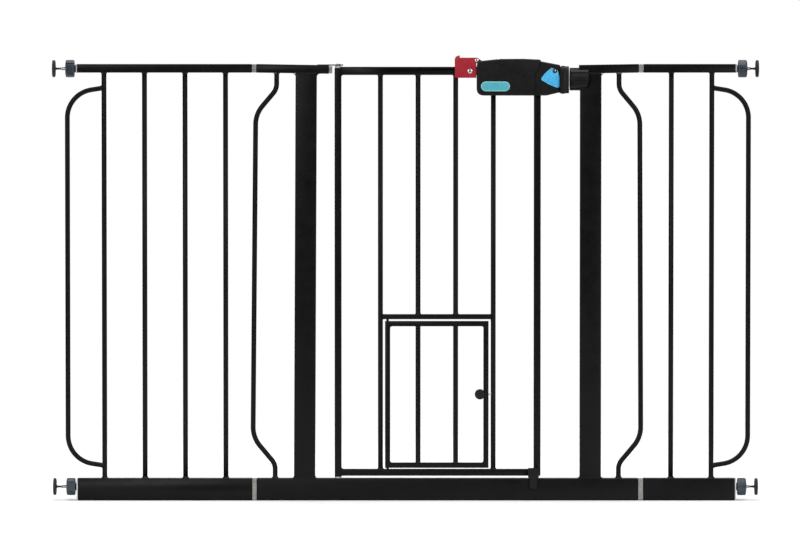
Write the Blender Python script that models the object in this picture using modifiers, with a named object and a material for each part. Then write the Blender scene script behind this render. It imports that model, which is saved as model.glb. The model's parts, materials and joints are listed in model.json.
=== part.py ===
"""Pressure-mounted walk-through pet gate with a lever-handled door and a small pet door in it.

+X runs across the doorway to the latch side, +Z up, and the front of the gate faces -Y.
The origin is on the floor, midway between the wall pads, in the plane of the bars.
"""

import math

import bmesh
import bpy
from mathutils import Matrix, Vector

MM = 0.001
GAP = 0.3 * MM  # between pieces that are welded or pressed together
CUTTER_REACH = 60 * MM  # how far a cutter runs past what it cuts
OBJECT_NAME = "pet_gate"

# Overall
TOP = 762 * MM
PAD_FACE = 616 * MM  # from the middle to each wall pad's outer face
PANEL_ENDS = {"left": 572.5 * MM, "right": 575.3 * MM}  # outer ends of each panel's tubes

# Tube sections
WALL = 1.2 * MM
RAIL_HEIGHT = 38 * MM
RAIL_DEPTH = 25 * MM
TOP_TUBE = 15 * MM
UPRIGHT_WIDTH = 37 * MM
UPRIGHT_DEPTH = 20 * MM
BAR_RADIUS = 4.35 * MM
BAR_PITCH = 70.7 * MM

# Main frame
FRAME_MIDDLE = 73.3 * MM
FRAME_HALF = 333.1 * MM
UPRIGHT_OFFSET = 249.8 * MM  # from the frame's middle to each upright's middle
LEFT_ARM_END = -133.7 * MM
RIGHT_ARM_END = 302.8 * MM
ARM_SLOPE = math.radians(0.9)
BOW_OFFSETS = {"left": 301.4 * MM, "right": 299.3 * MM}  # where each bowed bar meets the rail
BOW_RADIUS = 50 * MM
BOW_ANGLE = 40
BOW_TOP_REACH = 36.4 * MM
BOW_FOOT_REACH = 38.8 * MM
BOW_TOP = 737.5 * MM
BOW_BOTTOM = 44.1 * MM
LEFT_LEAN = math.radians(0.27)  # the left upright and its bowed bar lean towards the doorway

# Extension panels
LEFT_PANEL_INNER = -268 * MM
RIGHT_PANEL_INNER = 415.5 * MM
LEFT_FIRST_BAR = -314.1 * MM
RIGHT_FIRST_BAR = 463.9 * MM
LOOP_TOP = 720.6 * MM
LOOP_BOTTOM = 60.1 * MM
LOOP_REACH = 64 * MM
LOOP_RADIUS = 49.4 * MM
LOOP_SLOPE = 9  # the loop leaves its bar at this many degrees off the level
SPIGOT_LENGTH = 24 * MM

# Wall spindles
SPINDLE_HEIGHTS = {"upper": 754 * MM, "lower": 23.3 * MM}
ROD_RADIUS = 3.1 * MM
PAD_RADIUS = 14.8 * MM
PAD_THICKNESS = 5 * MM
PAD_STEM_RADIUS = 2.4 * MM
ROD_OUTER_END = 602 * MM
ROD_INNER_END = 528 * MM
ROD_BORE_RADIUS = 1.8 * MM
ROD_BORE_DEPTH = 14 * MM
NUT_RADIUS = 15.3 * MM
NUT_INSET = 4.9 * MM  # from the tube's end to the nut's wheel
NUT_WIDTH = 15.5 * MM
NUT_HUB_RADIUS = 6.5 * MM
PLUG_FLANGE = 2.5 * MM
ROD_CLEARANCE = 0.35 * MM

# Door
HINGE_X = -117.8 * MM
LATCH_POST_X = 230.1 * MM
POST = 12 * MM
POST_FOOT = 41.3 * MM
POST_TOP = 755 * MM
DOOR_RAIL = 14.3 * MM
DOOR_RAIL_TOP = 757.2 * MM
DOOR_FOOT = 42.5 * MM
DOOR_SILL_HEIGHT = 11.7 * MM
DOOR_BAR_PITCH = 65.7 * MM
DOOR_FIRST_BAR = -43.8 * MM
CROSSBAR_FOOT = 316.5 * MM
CROSSBAR = 8.7 * MM
HINGE_PIN_RADIUS = 3 * MM
HINGE_PLATE_FOOT = 759.3 * MM
HINGE_PLATE_TOP = 761.3 * MM

# Pet door in the lower middle of the door
PET_LEFT = -35.8 * MM
PET_RIGHT = 145.2 * MM
PET_FOOT = 56.3 * MM
PET_TOP = 313.2 * MM
PET_BAR = 9 * MM
PET_PIN_RADIUS = 2.2 * MM
PET_PIN_REACH = 7.5 * MM
PET_LATCH_HEIGHT = 185.5 * MM
PET_LATCH_RADIUS = 1.9 * MM
PET_LATCH_TIP = 148.6 * MM
KNOB_X = 130 * MM
KNOB_RADIUS = 9 * MM
KNOB_NECK_RADIUS = 1.6 * MM

# Lever handle
PIVOT_X = 123.9 * MM
PIVOT_Z = 768.6 * MM
PIVOT_PIN_RADIUS = 2 * MM
BRACKET_LEFT = 86 * MM
BRACKET_RIGHT = 123.5 * MM
BRACKET_FOOT = 738 * MM
BRACKET_TOP = 773 * MM
BRACKET_HALF_DEPTH = 12 * MM
BRACKET_WALL = 2 * MM
RIVET_X = 112.4 * MM
RIVET_Z = 749.5 * MM
HANDLE_FOOT = 706.9 * MM
HANDLE_HALF_DEPTH = 17 * MM
HANDLE_WALL = 2.6 * MM
HANDLE_LEFT = 124.3 * MM
HANDLE_RIGHT = 269.7 * MM
HOOD_END = 284.6 * MM
HOOD_HALF_DEPTH = 24.5 * MM
HOOD_TOP = 759 * MM
HOOD_FOOT = 710 * MM
SCREW_X = 260.3 * MM
SCREW_Z = 749 * MM
SLIDE_STROKE = 10 * MM
BOLT_Z = 735.7 * MM
BOLT_RADIUS = 4 * MM
BOLT_TIP = 282 * MM

# Latch receiver on the right upright
RECEIVER_LEFT = 286.5 * MM
RECEIVER_RIGHT = 319.2 * MM
RECEIVER_RADIUS = 20.5 * MM

MATERIALS = {
    "black_powder_coat": ((0.012, 0.012, 0.013), 0.38, 0.0),
    "black_plastic": ((0.016, 0.016, 0.017), 0.55, 0.0),
    "red_plastic": ((0.42, 0.025, 0.04), 0.4, 0.0),
    "zinc": ((0.62, 0.62, 0.64), 0.32, 1.0),
    "clear_nylon": ((0.66, 0.67, 0.63), 0.35, 0.0),
    "slate_plastic": ((0.075, 0.092, 0.115), 0.45, 0.0),
    "grey_plastic": ((0.3, 0.3, 0.31), 0.5, 0.0),
    "pad_rubber": ((0.03, 0.028, 0.027), 0.7, 0.0),
}


# Scene, materials and parents


def clear_scene():
    for thing in list(bpy.data.objects):
        bpy.data.objects.remove(thing)


def new_collection(name):
    collection = bpy.data.collections.new(name)
    bpy.context.scene.collection.children.link(collection)
    return collection


def new_material(name):
    colour, roughness, metallic = MATERIALS[name]
    made = bpy.data.materials.new(name)
    made.use_nodes = True
    shader = made.node_tree.nodes["Principled BSDF"]
    shader.inputs["Base Color"].default_value = (*colour, 1)
    shader.inputs["Roughness"].default_value = roughness
    shader.inputs["Metallic"].default_value = metallic
    made.diffuse_color = (*colour, 1)
    return made


clear_scene()
PARTS = new_collection(OBJECT_NAME)
CUTTERS = new_collection("cutters")
FINISH = {name: new_material(name) for name in MATERIALS}


def joint_empty(name, position, parent=None):
    """An empty on a joint's axis, which the pieces that turn or slide there are parented to."""
    empty = bpy.data.objects.new(name, None)
    PARTS.objects.link(empty)
    empty.location = position
    if parent:
        attach(empty, parent)
    bpy.context.view_layer.update()
    return empty


def attach(piece, parent):
    """Parents a piece without moving it."""
    bpy.context.view_layer.update()
    piece.parent = parent
    piece.matrix_parent_inverse = parent.matrix_world.inverted()


def finish(piece, finish_name, parent=None):
    """Puts a piece in the gate's collection with its material and parent."""
    PARTS.objects.link(piece)
    piece.data.materials.clear()
    piece.data.materials.append(FINISH[finish_name])
    if piece.type == "MESH":
        piece.data.shade_smooth()
        piece.data.set_sharp_from_angle(angle=math.radians(35))
    if parent:
        attach(piece, parent)
    return piece


# Solids


def object_of(name, mesh_edit, centre):
    """An object at centre holding the mesh in mesh_edit, whose points are in world coordinates."""
    bmesh.ops.translate(mesh_edit, verts=mesh_edit.verts, vec=-Vector(centre))
    mesh = bpy.data.meshes.new(name)
    mesh_edit.to_mesh(mesh)
    mesh_edit.free()
    made = bpy.data.objects.new(name, mesh)
    made.location = centre
    return made


def box(name, low, high):
    low = Vector(low)
    high = Vector(high)
    edit = bmesh.new()
    bmesh.ops.create_cube(edit, size=1)
    bmesh.ops.scale(edit, verts=edit.verts, vec=high - low)
    centre = (low + high) / 2
    bmesh.ops.translate(edit, verts=edit.verts, vec=centre)
    return object_of(name, edit, centre)


def cylinder(name, start, end, radius, sides=24):
    start = Vector(start)
    end = Vector(end)
    edit = bmesh.new()
    along = end - start
    turn = Vector((0, 0, 1)).rotation_difference(along).to_matrix().to_4x4()
    place = Matrix.Translation((start + end) / 2) @ turn
    bmesh.ops.create_cone(
        edit,
        cap_ends=True,
        segments=sides,
        radius1=radius,
        radius2=radius,
        depth=along.length,
        matrix=place,
    )
    return object_of(name, edit, (start + end) / 2)


def square_tube(name, low, high, axis, wall=WALL):
    """A rectangular tube from corner to corner, open at both ends of its axis (0 is X, 2 is Z)."""
    tube = box(name, low, high)
    edit = bmesh.new()
    edit.from_mesh(tube.data)
    ends = [face for face in edit.faces if abs(face.normal[axis]) > 0.5]
    bmesh.ops.delete(edit, geom=ends, context="FACES_ONLY")
    edit.to_mesh(tube.data)
    edit.free()
    shell = tube.modifiers.new("wall", "SOLIDIFY")
    shell.thickness = wall
    shell.offset = -1
    shell.use_even_offset = True
    return tube


def turned(name, profile, base, direction, sides=24):
    """A turned piece: profile is (radius, height) from the top down its outside, base is height 0."""
    mesh = bpy.data.meshes.new(name)
    points = [(radius, 0, height) for radius, height in profile]
    edges = [(i, i + 1) for i in range(len(points) - 1)]
    mesh.from_pydata(points, edges, [])
    made = bpy.data.objects.new(name, mesh)
    made.location = base
    made.rotation_mode = "QUATERNION"
    made.rotation_quaternion = Vector((0, 0, 1)).rotation_difference(Vector(direction))
    screw = made.modifiers.new("turn", "SCREW")
    screw.steps = sides
    screw.render_steps = sides
    screw.use_merge_vertices = True
    screw.merge_threshold = 0.00001
    return made


def trace(start, heading, moves, step=10):
    """Points in the XZ plane along (length, 0) runs and (radius, turn) arcs, with angles in degrees."""
    x, z = start
    points = [(x, z)]
    for size, turn in moves:
        count = max(1, round(abs(turn) / step))
        chord = 2 * size * math.sin(math.radians(abs(turn) / count / 2)) if turn else size
        for _ in range(count):
            heading += turn / count / 2
            x += chord * math.cos(math.radians(heading))
            z += chord * math.sin(math.radians(heading))
            heading += turn / count / 2
            points.append((x, z))
    return points


def bent_rod(name, path, radius=BAR_RADIUS):
    """A round rod along points of the XZ plane."""
    curve = bpy.data.curves.new(name, "CURVE")
    curve.dimensions = "3D"
    curve.bevel_depth = radius
    curve.bevel_resolution = 4
    curve.use_fill_caps = True
    spline = curve.splines.new("POLY")
    spline.points.add(len(path) - 1)
    first = path[0]
    for point, (x, z) in zip(spline.points, path):
        point.co = (x - first[0], 0, z - first[1], 1)
    made = bpy.data.objects.new(name, curve)
    made.location = (first[0], 0, first[1])
    return made


def as_mesh(curve_object):
    """The curve as a mesh object with its caps welded on."""
    bpy.context.scene.collection.objects.link(curve_object)
    graph = bpy.context.evaluated_depsgraph_get()
    mesh = bpy.data.meshes.new_from_object(curve_object.evaluated_get(graph))
    edit = bmesh.new()
    edit.from_mesh(mesh)
    bmesh.ops.remove_doubles(edit, verts=edit.verts, dist=0.00001)
    edit.to_mesh(mesh)
    edit.free()
    name = curve_object.name
    place = curve_object.matrix_world.copy()
    bpy.data.objects.remove(curve_object)
    made = bpy.data.objects.new(name, mesh)
    made.matrix_world = place
    return made


def plate(name, outline, centre, thickness, across="Y"):
    """A flat plate: outline is in the XZ plane for a plate across Y, or in the YZ plane across X."""
    curve = bpy.data.curves.new(name, "CURVE")
    curve.dimensions = "2D"
    curve.fill_mode = "BOTH"
    curve.extrude = thickness / 2
    spline = curve.splines.new("POLY")
    spline.points.add(len(outline) - 1)
    for point, (u, v) in zip(spline.points, outline):
        point.co = (u, v, 0, 1)
    spline.use_cyclic_u = True
    made = bpy.data.objects.new(name, curve)
    quarter = math.pi / 2
    made.rotation_euler = (quarter, 0, 0) if across == "Y" else (quarter, 0, quarter)
    made.location = (0, centre, 0) if across == "Y" else (centre, 0, 0)
    return as_mesh(made)


def boolean(piece, tool, operation):
    """Adds a Boolean to a piece and keeps its operand among the cutters."""
    if tool.name not in CUTTERS.objects:
        CUTTERS.objects.link(tool)
        tool.hide_render = True
        tool.display_type = "WIRE"
    modifier = piece.modifiers.new(tool.name, "BOOLEAN")
    modifier.object = tool
    modifier.operation = operation
    modifier.solver = "EXACT"
    return piece


def cut(piece, tool):
    return boolean(piece, tool, "DIFFERENCE")


def join(piece, tool):
    return boolean(piece, tool, "UNION")


def round_edges(piece, width, segments=2, angle=40):
    bevel = piece.modifiers.new("round", "BEVEL")
    bevel.width = width
    bevel.segments = segments
    bevel.limit_method = "ANGLE"
    bevel.angle_limit = math.radians(angle)
    return piece


def upright_bar(name, x, foot, top, parent=None):
    bar = cylinder(name, (x, 0, foot), (x, 0, top), BAR_RADIUS)
    return finish(bar, "black_powder_coat", parent)


# Main frame


def arm_underside(x):
    """Height of an arm's lower face: both arms fall from their outer ends towards the doorway."""
    inward = FRAME_HALF - abs(x - FRAME_MIDDLE)
    return TOP - TOP_TUBE / math.cos(ARM_SLOPE) - inward * math.tan(ARM_SLOPE)


def base_rail():
    low = (FRAME_MIDDLE - FRAME_HALF, -RAIL_DEPTH / 2, 0)
    high = (FRAME_MIDDLE + FRAME_HALF, RAIL_DEPTH / 2, RAIL_HEIGHT)
    finish(square_tube("base_rail", low, high, 0), "black_powder_coat")


def upright(side, sign):
    middle = FRAME_MIDDLE + sign * UPRIGHT_OFFSET
    inner = middle - sign * UPRIGHT_WIDTH / 2
    low = (middle - UPRIGHT_WIDTH / 2, -UPRIGHT_DEPTH / 2, RAIL_HEIGHT + GAP)
    high = (middle + UPRIGHT_WIDTH / 2, UPRIGHT_DEPTH / 2, arm_underside(inner) - GAP)
    tube = square_tube(f"{side}_upright", low, high, 2)
    if side == "left":
        foot = Vector((middle, 0, RAIL_HEIGHT + GAP))
        offset = Vector(tube.location) - foot
        tube.rotation_euler = (0, LEFT_LEAN, 0)
        tube.location = foot + Matrix.Rotation(LEFT_LEAN, 3, "Y") @ offset
    finish(tube, "black_powder_coat")


def arm(side, sign, inner_end):
    """A short top tube that falls a little towards the doorway, turned about its outer top edge."""
    outer = FRAME_MIDDLE + sign * FRAME_HALF
    half = TOP_TUBE / 2
    low = (min(outer, inner_end), -half, TOP - TOP_TUBE)
    high = (max(outer, inner_end), half, TOP)
    tube = square_tube(f"{side}_arm", low, high, 0)
    slope = -sign * ARM_SLOPE
    tube.rotation_euler = (0, slope, 0)
    hinge = Vector((outer, 0, TOP))
    offset = Vector(tube.location) - hinge
    tube.location = hinge + Matrix.Rotation(slope, 3, "Y") @ offset
    return finish(tube, "black_powder_coat")


def bowed_bar(side, sign):
    """The bar outside each upright, which bows away from it between two S bends."""
    x = FRAME_MIDDLE + sign * BOW_OFFSETS[side]
    start = arm_underside(x) - 1.5 * GAP
    out = sign * BOW_ANGLE
    bend = math.radians(BOW_ANGLE)
    arcs = 2 * BOW_RADIUS * (1 - math.cos(bend))
    top_slant = (BOW_TOP_REACH - arcs) / math.sin(bend)
    foot_slant = (BOW_FOOT_REACH - arcs) / math.sin(bend)
    bends = 4 * BOW_RADIUS * math.sin(bend) + (top_slant + foot_slant) * math.cos(bend)
    straight = BOW_TOP - BOW_BOTTOM - bends
    splay = sign * math.degrees(math.atan2(BOW_FOOT_REACH - BOW_TOP_REACH, straight))
    foot = RAIL_HEIGHT + 1.5 * GAP
    moves = [
        (start - BOW_TOP, 0),
        (BOW_RADIUS, out),
        (top_slant, 0),
        (BOW_RADIUS, splay - out),
        (straight, 0),
        (BOW_RADIUS, -out - splay),
        (foot_slant, 0),
        (BOW_RADIUS, out),
        (BOW_BOTTOM - foot, 0),
    ]
    path = trace((x, start), -90, moves)
    if side == "left":
        path = [(u + (v - foot) * math.tan(LEFT_LEAN), v) for u, v in path]
    finish(bent_rod(f"{side}_bowed_bar", path), "black_powder_coat")


def arm_plug():
    """The nylon plug in the left arm's end, with its spigot in the tube and its head clear of the post."""
    head_top = arm_underside(LEFT_ARM_END) + TOP_TUBE - 1.5 * MM
    half = 6.4 * MM
    head_low = (LEFT_ARM_END + GAP, -half, head_top - 2 * half)
    head_high = (LEFT_ARM_END + 6 * MM, half, head_top)
    plug = box("left_arm_plug", head_low, head_high)
    middle = (head_low[2] + head_high[2]) / 2
    spigot = 5.2 * MM
    low = (LEFT_ARM_END - 18 * MM, -spigot, middle - spigot)
    high = (LEFT_ARM_END + 2 * MM, spigot, middle + spigot)
    join(plug, box("arm_plug_spigot", low, high))
    finish(plug, "clear_nylon")


def weld_hinge_plate(left_arm):
    """The plate on the end of the left arm that carries the door's top hinge pin."""
    low = (LEFT_ARM_END - 20 * MM, -6.5 * MM, HINGE_PLATE_FOOT)
    high = (HINGE_X + 9 * MM, 6.5 * MM, HINGE_PLATE_TOP)
    join(left_arm, box("upper_hinge_plate", low, high))
    bottom = (HINGE_X, 0, HINGE_PLATE_FOOT - 5 * MM)
    top = (HINGE_X, 0, HINGE_PLATE_TOP + 5 * MM)
    cut(left_arm, cylinder("hinge_plate_hole", bottom, top, HINGE_PIN_RADIUS + GAP))


def upper_hinge_pin():
    head = 4 * MM
    head_foot = HINGE_PLATE_TOP + GAP
    foot = POST_TOP - 14 * MM
    profile = [
        (0, head_foot + 1.5 * MM),
        (head * 0.6, head_foot + 1.3 * MM),
        (head, head_foot + 0.5 * MM),
        (head, head_foot),
        (HINGE_PIN_RADIUS, head_foot),
        (HINGE_PIN_RADIUS, foot),
        (0, foot),
    ]
    pin = turned("upper_hinge_pin", profile, (HINGE_X, 0, 0), (0, 0, 1))
    finish(pin, "zinc")


def lower_hinge_pin():
    """A pin with a washer foot, standing on the base rail inside the door's hinge post."""
    washer_top = POST_FOOT - GAP
    washer = 5.9 * MM
    top = POST_FOOT + 18 * MM
    profile = [
        (0, top),
        (HINGE_PIN_RADIUS - 0.8 * MM, top),
        (HINGE_PIN_RADIUS, top - 1 * MM),
        (HINGE_PIN_RADIUS, washer_top),
        (washer, washer_top),
        (washer, RAIL_HEIGHT + GAP),
        (0, RAIL_HEIGHT + GAP),
    ]
    pin = turned("lower_hinge_pin", profile, (HINGE_X, 0, 0), (0, 0, 1))
    finish(pin, "grey_plastic")


def receiver_outline():
    """The receiver seen from the front: its outer end is swept back below the middle."""
    top = BOLT_Z + RECEIVER_RADIUS + 5 * MM
    foot = BOLT_Z - RECEIVER_RADIUS - 5 * MM
    sweep = 14 * MM
    drop = 24 * MM
    turn_height = BOLT_Z + 3 * MM
    points = [(RECEIVER_LEFT, foot), (RECEIVER_LEFT, top), (RECEIVER_RIGHT, top)]
    for step in range(7):
        angle = math.radians(15 * step)
        x = RECEIVER_RIGHT - sweep + sweep * math.cos(angle)
        points.append((x, turn_height - drop * math.sin(angle)))
    points.append((RECEIVER_RIGHT - sweep, foot))
    return points


def latch_receiver():
    """The barrel on the right upright that the door's bolt slides into; it straddles the upright."""
    start = (RECEIVER_LEFT, 0, BOLT_Z)
    end = (RECEIVER_RIGHT, 0, BOLT_Z)
    barrel = cylinder("latch_receiver", start, end, RECEIVER_RADIUS, 40)
    depth = 4 * RECEIVER_RADIUS
    boolean(barrel, plate("receiver_outline", receiver_outline(), 0, depth), "INTERSECT")
    post_left = FRAME_MIDDLE + UPRIGHT_OFFSET - UPRIGHT_WIDTH / 2
    clear = UPRIGHT_DEPTH / 2 + GAP
    low = (post_left - GAP, -clear, BOLT_Z - CUTTER_REACH)
    high = (post_left + CUTTER_REACH, clear, BOLT_Z + CUTTER_REACH)
    cut(barrel, box("receiver_post_space", low, high))
    arm_clear = TOP_TUBE / 2 + GAP
    arm_foot = arm_underside(RIGHT_ARM_END) - 2 * GAP
    low = (RIGHT_ARM_END - GAP, -arm_clear, arm_foot)
    high = (RIGHT_ARM_END + CUTTER_REACH, arm_clear, arm_foot + CUTTER_REACH)
    cut(barrel, box("receiver_arm_space", low, high))
    socket_radius = BOLT_RADIUS + 0.7 * MM
    mouth = (RECEIVER_LEFT - 5 * MM, 0, BOLT_Z)
    bottom = (RECEIVER_LEFT + 10 * MM, 0, BOLT_Z)
    cut(barrel, cylinder("receiver_socket", mouth, bottom, socket_radius))
    finish(barrel, "black_plastic")


def main_frame():
    base_rail()
    upright("left", -1)
    upright("right", 1)
    weld_hinge_plate(arm("left", -1, LEFT_ARM_END))
    arm("right", 1, RIGHT_ARM_END)
    bowed_bar("left", -1)
    bowed_bar("right", 1)
    arm_plug()
    upper_hinge_pin()
    lower_hinge_pin()
    latch_receiver()


# Extension panels, their couplers and end plugs


def panel_tubes(side, inner, outer):
    left, right = sorted((inner, outer))
    half = TOP_TUBE / 2
    top = square_tube(
        f"{side}_panel_top_tube", (left, -half, TOP - TOP_TUBE), (right, half, TOP), 0
    )
    finish(top, "black_powder_coat")
    half = RAIL_DEPTH / 2
    rail = square_tube(f"{side}_panel_rail", (left, -half, 0), (right, half, RAIL_HEIGHT), 0)
    finish(rail, "black_powder_coat")


def end_hoop(side, sign, bar_x, foot, top):
    """The panel's last bar, with the rounded loop welded to its outer side near top and foot."""
    bar = cylinder(f"{side}_panel_hoop", (bar_x, 0, foot), (bar_x, 0, top), BAR_RADIUS)
    slope = math.radians(LOOP_SLOPE)
    run = (LOOP_REACH - LOOP_RADIUS * (1 - math.sin(slope))) / math.cos(slope)
    fall = run * math.sin(slope) + LOOP_RADIUS * math.cos(slope)
    turn = (LOOP_SLOPE - 90) * sign
    moves = [
        (run, 0),
        (LOOP_RADIUS, turn),
        (LOOP_TOP - LOOP_BOTTOM - 2 * fall, 0),
        (LOOP_RADIUS, turn),
        (run, 0),
    ]
    heading = -LOOP_SLOPE if sign > 0 else 180 + LOOP_SLOPE
    path = trace((bar_x, LOOP_TOP), heading, moves)
    join(bar, as_mesh(bent_rod(f"{side}_hoop_loop", path, BAR_RADIUS - 0.05 * MM)))
    finish(bar, "black_powder_coat")


def coupler(side, level, panel_end, frame_end, low_z, size, slack):
    """A nylon coupler: a collar that shows between two tubes, and a spigot that goes into both."""
    left, right = sorted((panel_end, frame_end))
    depth, height = size
    low = (left + GAP, -depth / 2, low_z)
    high = (right - GAP, depth / 2, low_z + height)
    collar = box(f"{side}_{level}_coupler", low, high)
    inset = WALL + slack
    low = (left - SPIGOT_LENGTH, -depth / 2 + inset, low_z + inset)
    high = (right + SPIGOT_LENGTH, depth / 2 - inset, low_z + height - inset)
    join(collar, box(f"{side}_{level}_coupler_spigot", low, high))
    finish(collar, "clear_nylon")


def end_plug(side, sign, level, low_z, size):
    """The plug in a tube's outer end, bored for the wall spindle."""
    end = PANEL_ENDS[side]
    depth, height = size
    inner, outer = sign * (end + GAP), sign * (end + PLUG_FLANGE)
    low = (min(inner, outer), -depth / 2, low_z)
    high = (max(inner, outer), depth / 2, low_z + height)
    plug = box(f"{side}_{level}_end_plug", low, high)
    inset = WALL + GAP
    inner, outer = sign * (end - 14 * MM), sign * (end + 2 * MM)
    low = (min(inner, outer), -depth / 2 + inset, low_z + inset)
    high = (max(inner, outer), depth / 2 - inset, low_z + height - inset)
    join(plug, box(f"{side}_{level}_plug_spigot", low, high))
    z = SPINDLE_HEIGHTS[level]
    reach = (sign * (end - CUTTER_REACH), 0, z), (sign * (end + CUTTER_REACH), 0, z)
    bore = cylinder(f"{side}_{level}_plug_bore", *reach, ROD_RADIUS + ROD_CLEARANCE)
    finish(cut(plug, bore), "grey_plastic")


def panel(side, sign, inner, first_bar, bar_count):
    panel_tubes(side, inner, sign * PANEL_ENDS[side])
    foot, top = RAIL_HEIGHT + GAP, TOP - TOP_TUBE - GAP
    for number in range(1, bar_count):
        bar_x = first_bar + sign * BAR_PITCH * (number - 1)
        upright_bar(f"{side}_panel_bar_{number}", bar_x, foot, top)
    end_hoop(side, sign, first_bar + sign * BAR_PITCH * (bar_count - 1), foot, top)
    frame_end = FRAME_MIDDLE + sign * FRAME_HALF
    top_size = (TOP_TUBE, TOP_TUBE)
    rail_size = (RAIL_DEPTH, RAIL_HEIGHT)
    coupler(side, "upper", inner, frame_end, TOP - TOP_TUBE, top_size, 0.7 * MM)
    coupler(side, "lower", inner, frame_end, 0, rail_size, GAP)
    end_plug(side, sign, "upper", TOP - TOP_TUBE, top_size)
    end_plug(side, sign, "lower", 0, rail_size)


# Wall spindles: a rod with a pad on its end, and the nut that winds it out of the tube


def spindle_rod(name, sign, z, axis):
    """The threaded rod, with a blind bore in its outer end for the pad's stem."""
    chamfer = 0.7 * MM
    profile = [
        (0, ROD_OUTER_END - ROD_BORE_DEPTH),
        (ROD_BORE_RADIUS, ROD_OUTER_END - ROD_BORE_DEPTH),
        (ROD_BORE_RADIUS, ROD_OUTER_END),
        (ROD_RADIUS - chamfer, ROD_OUTER_END),
        (ROD_RADIUS, ROD_OUTER_END - chamfer),
        (ROD_RADIUS, ROD_INNER_END + chamfer),
        (ROD_RADIUS - chamfer, ROD_INNER_END),
        (0, ROD_INNER_END),
    ]
    rod = turned(f"{name}_spindle", profile, (0, 0, z), (sign, 0, 0))
    finish(rod, "zinc", axis)


def wall_pad(name, sign, z, axis):
    """The pad: a disc with a stem, and a thinner peg on the stem that plugs into the rod."""
    back = PAD_FACE - PAD_THICKNESS
    peg = ROD_BORE_RADIUS - GAP
    stem_foot = ROD_OUTER_END + GAP
    profile = [
        (0, PAD_FACE),
        (PAD_RADIUS - 1 * MM, PAD_FACE),
        (PAD_RADIUS, PAD_FACE - 1 * MM),
        (PAD_RADIUS, back + 1 * MM),
        (PAD_RADIUS - 1 * MM, back),
        (PAD_STEM_RADIUS + 2 * MM, back),
        (PAD_STEM_RADIUS, back - 2 * MM),
        (PAD_STEM_RADIUS, stem_foot),
        (peg, stem_foot),
        (peg, ROD_OUTER_END - ROD_BORE_DEPTH + 1 * MM),
        (0, ROD_OUTER_END - ROD_BORE_DEPTH + 1 * MM),
    ]
    pad = turned(f"{name}_pad", profile, (0, 0, z), (sign, 0, 0))
    finish(pad, "pad_rubber", axis)


def spindle_nut(name, sign, z, tube_end):
    """The hand nut: a wheel with a small hub that bears on the tube's plug."""
    wheel = tube_end + NUT_INSET
    axis = joint_empty(f"{name}_nut_axis", (sign * wheel, 0, z))
    start = (sign * wheel, 0, z)
    end = (sign * (wheel + NUT_WIDTH), 0, z)
    nut = cylinder(f"{name}_nut", start, end, NUT_RADIUS, 32)
    round_edges(nut, 1 * MM, 1)
    start = (sign * (tube_end + PLUG_FLANGE + GAP), 0, z)
    end = (sign * (wheel + 2 * MM), 0, z)
    join(nut, cylinder(f"{name}_nut_hub", start, end, NUT_HUB_RADIUS))
    start = (sign * (wheel - CUTTER_REACH), 0, z)
    end = (sign * (wheel + CUTTER_REACH), 0, z)
    cut(nut, cylinder(f"{name}_nut_bore", start, end, ROD_RADIUS + ROD_CLEARANCE))
    finish(nut, "slate_plastic", axis)


def spindle(side, sign, level):
    z = SPINDLE_HEIGHTS[level]
    name = f"{side}_{level}"
    axis = joint_empty(f"{name}_spindle_axis", (sign * PANEL_ENDS[side], 0, z))
    spindle_rod(name, sign, z, axis)
    wall_pad(name, sign, z, axis)
    spindle_nut(name, sign, z, PANEL_ENDS[side])


# Door


def door_posts(swing):
    half = POST / 2
    low = (HINGE_X - half, -half, POST_FOOT)
    high = (HINGE_X + half, half, POST_TOP)
    finish(square_tube("door_hinge_post", low, high, 2), "black_powder_coat", swing)
    low = (LATCH_POST_X - half, -half, DOOR_FOOT)
    high = (LATCH_POST_X + half, half, DOOR_RAIL_TOP - DOOR_RAIL - GAP)
    finish(square_tube("door_latch_post", low, high, 2), "black_powder_coat", swing)


def post_bushing(swing):
    """The bushing between the hinge post's top and the hinge plate, with its square end in the post."""
    collar = 5.3 * MM
    start = (HINGE_X, 0, POST_TOP + GAP)
    end = (HINGE_X, 0, HINGE_PLATE_FOOT - GAP)
    bushing = cylinder("hinge_post_bushing", start, end, collar)
    half = POST / 2 - WALL - GAP
    low = (HINGE_X - half, -half, POST_TOP - 10 * MM)
    high = (HINGE_X + half, half, POST_TOP + 1 * MM)
    join(bushing, box("bushing_spigot", low, high))
    start = (HINGE_X, 0, POST_TOP - CUTTER_REACH)
    end = (HINGE_X, 0, POST_TOP + CUTTER_REACH)
    cut(bushing, cylinder("bushing_bore", start, end, HINGE_PIN_RADIUS + GAP))
    finish(bushing, "grey_plastic", swing)


def door_rails(swing):
    post_face = HINGE_X + POST / 2 + GAP
    half = DOOR_RAIL / 2
    low = (post_face, -half, DOOR_RAIL_TOP - DOOR_RAIL)
    high = (LATCH_POST_X + POST / 2, half, DOOR_RAIL_TOP)
    top = square_tube("door_top_rail", low, high, 0)
    start = (RIVET_X, -CUTTER_REACH, RIVET_Z)
    end = (RIVET_X, CUTTER_REACH, RIVET_Z)
    cut(top, cylinder("rail_rivet_hole", start, end, 2.5 * MM + GAP))
    finish(top, "black_powder_coat", swing)
    half = POST / 2
    low = (post_face, -half, DOOR_FOOT)
    high = (LATCH_POST_X - half - GAP, half, DOOR_FOOT + DOOR_SILL_HEIGHT)
    sill = square_tube("door_bottom_rail", low, high, 0)
    pet_axis = PET_LEFT + PET_BAR / 2
    start = (pet_axis, 0, DOOR_FOOT + DOOR_SILL_HEIGHT / 2)
    end = (pet_axis, 0, DOOR_FOOT + CUTTER_REACH)
    cut(sill, cylinder("sill_pin_hole", start, end, PET_PIN_RADIUS + GAP))
    finish(sill, "black_powder_coat", swing)


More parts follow.
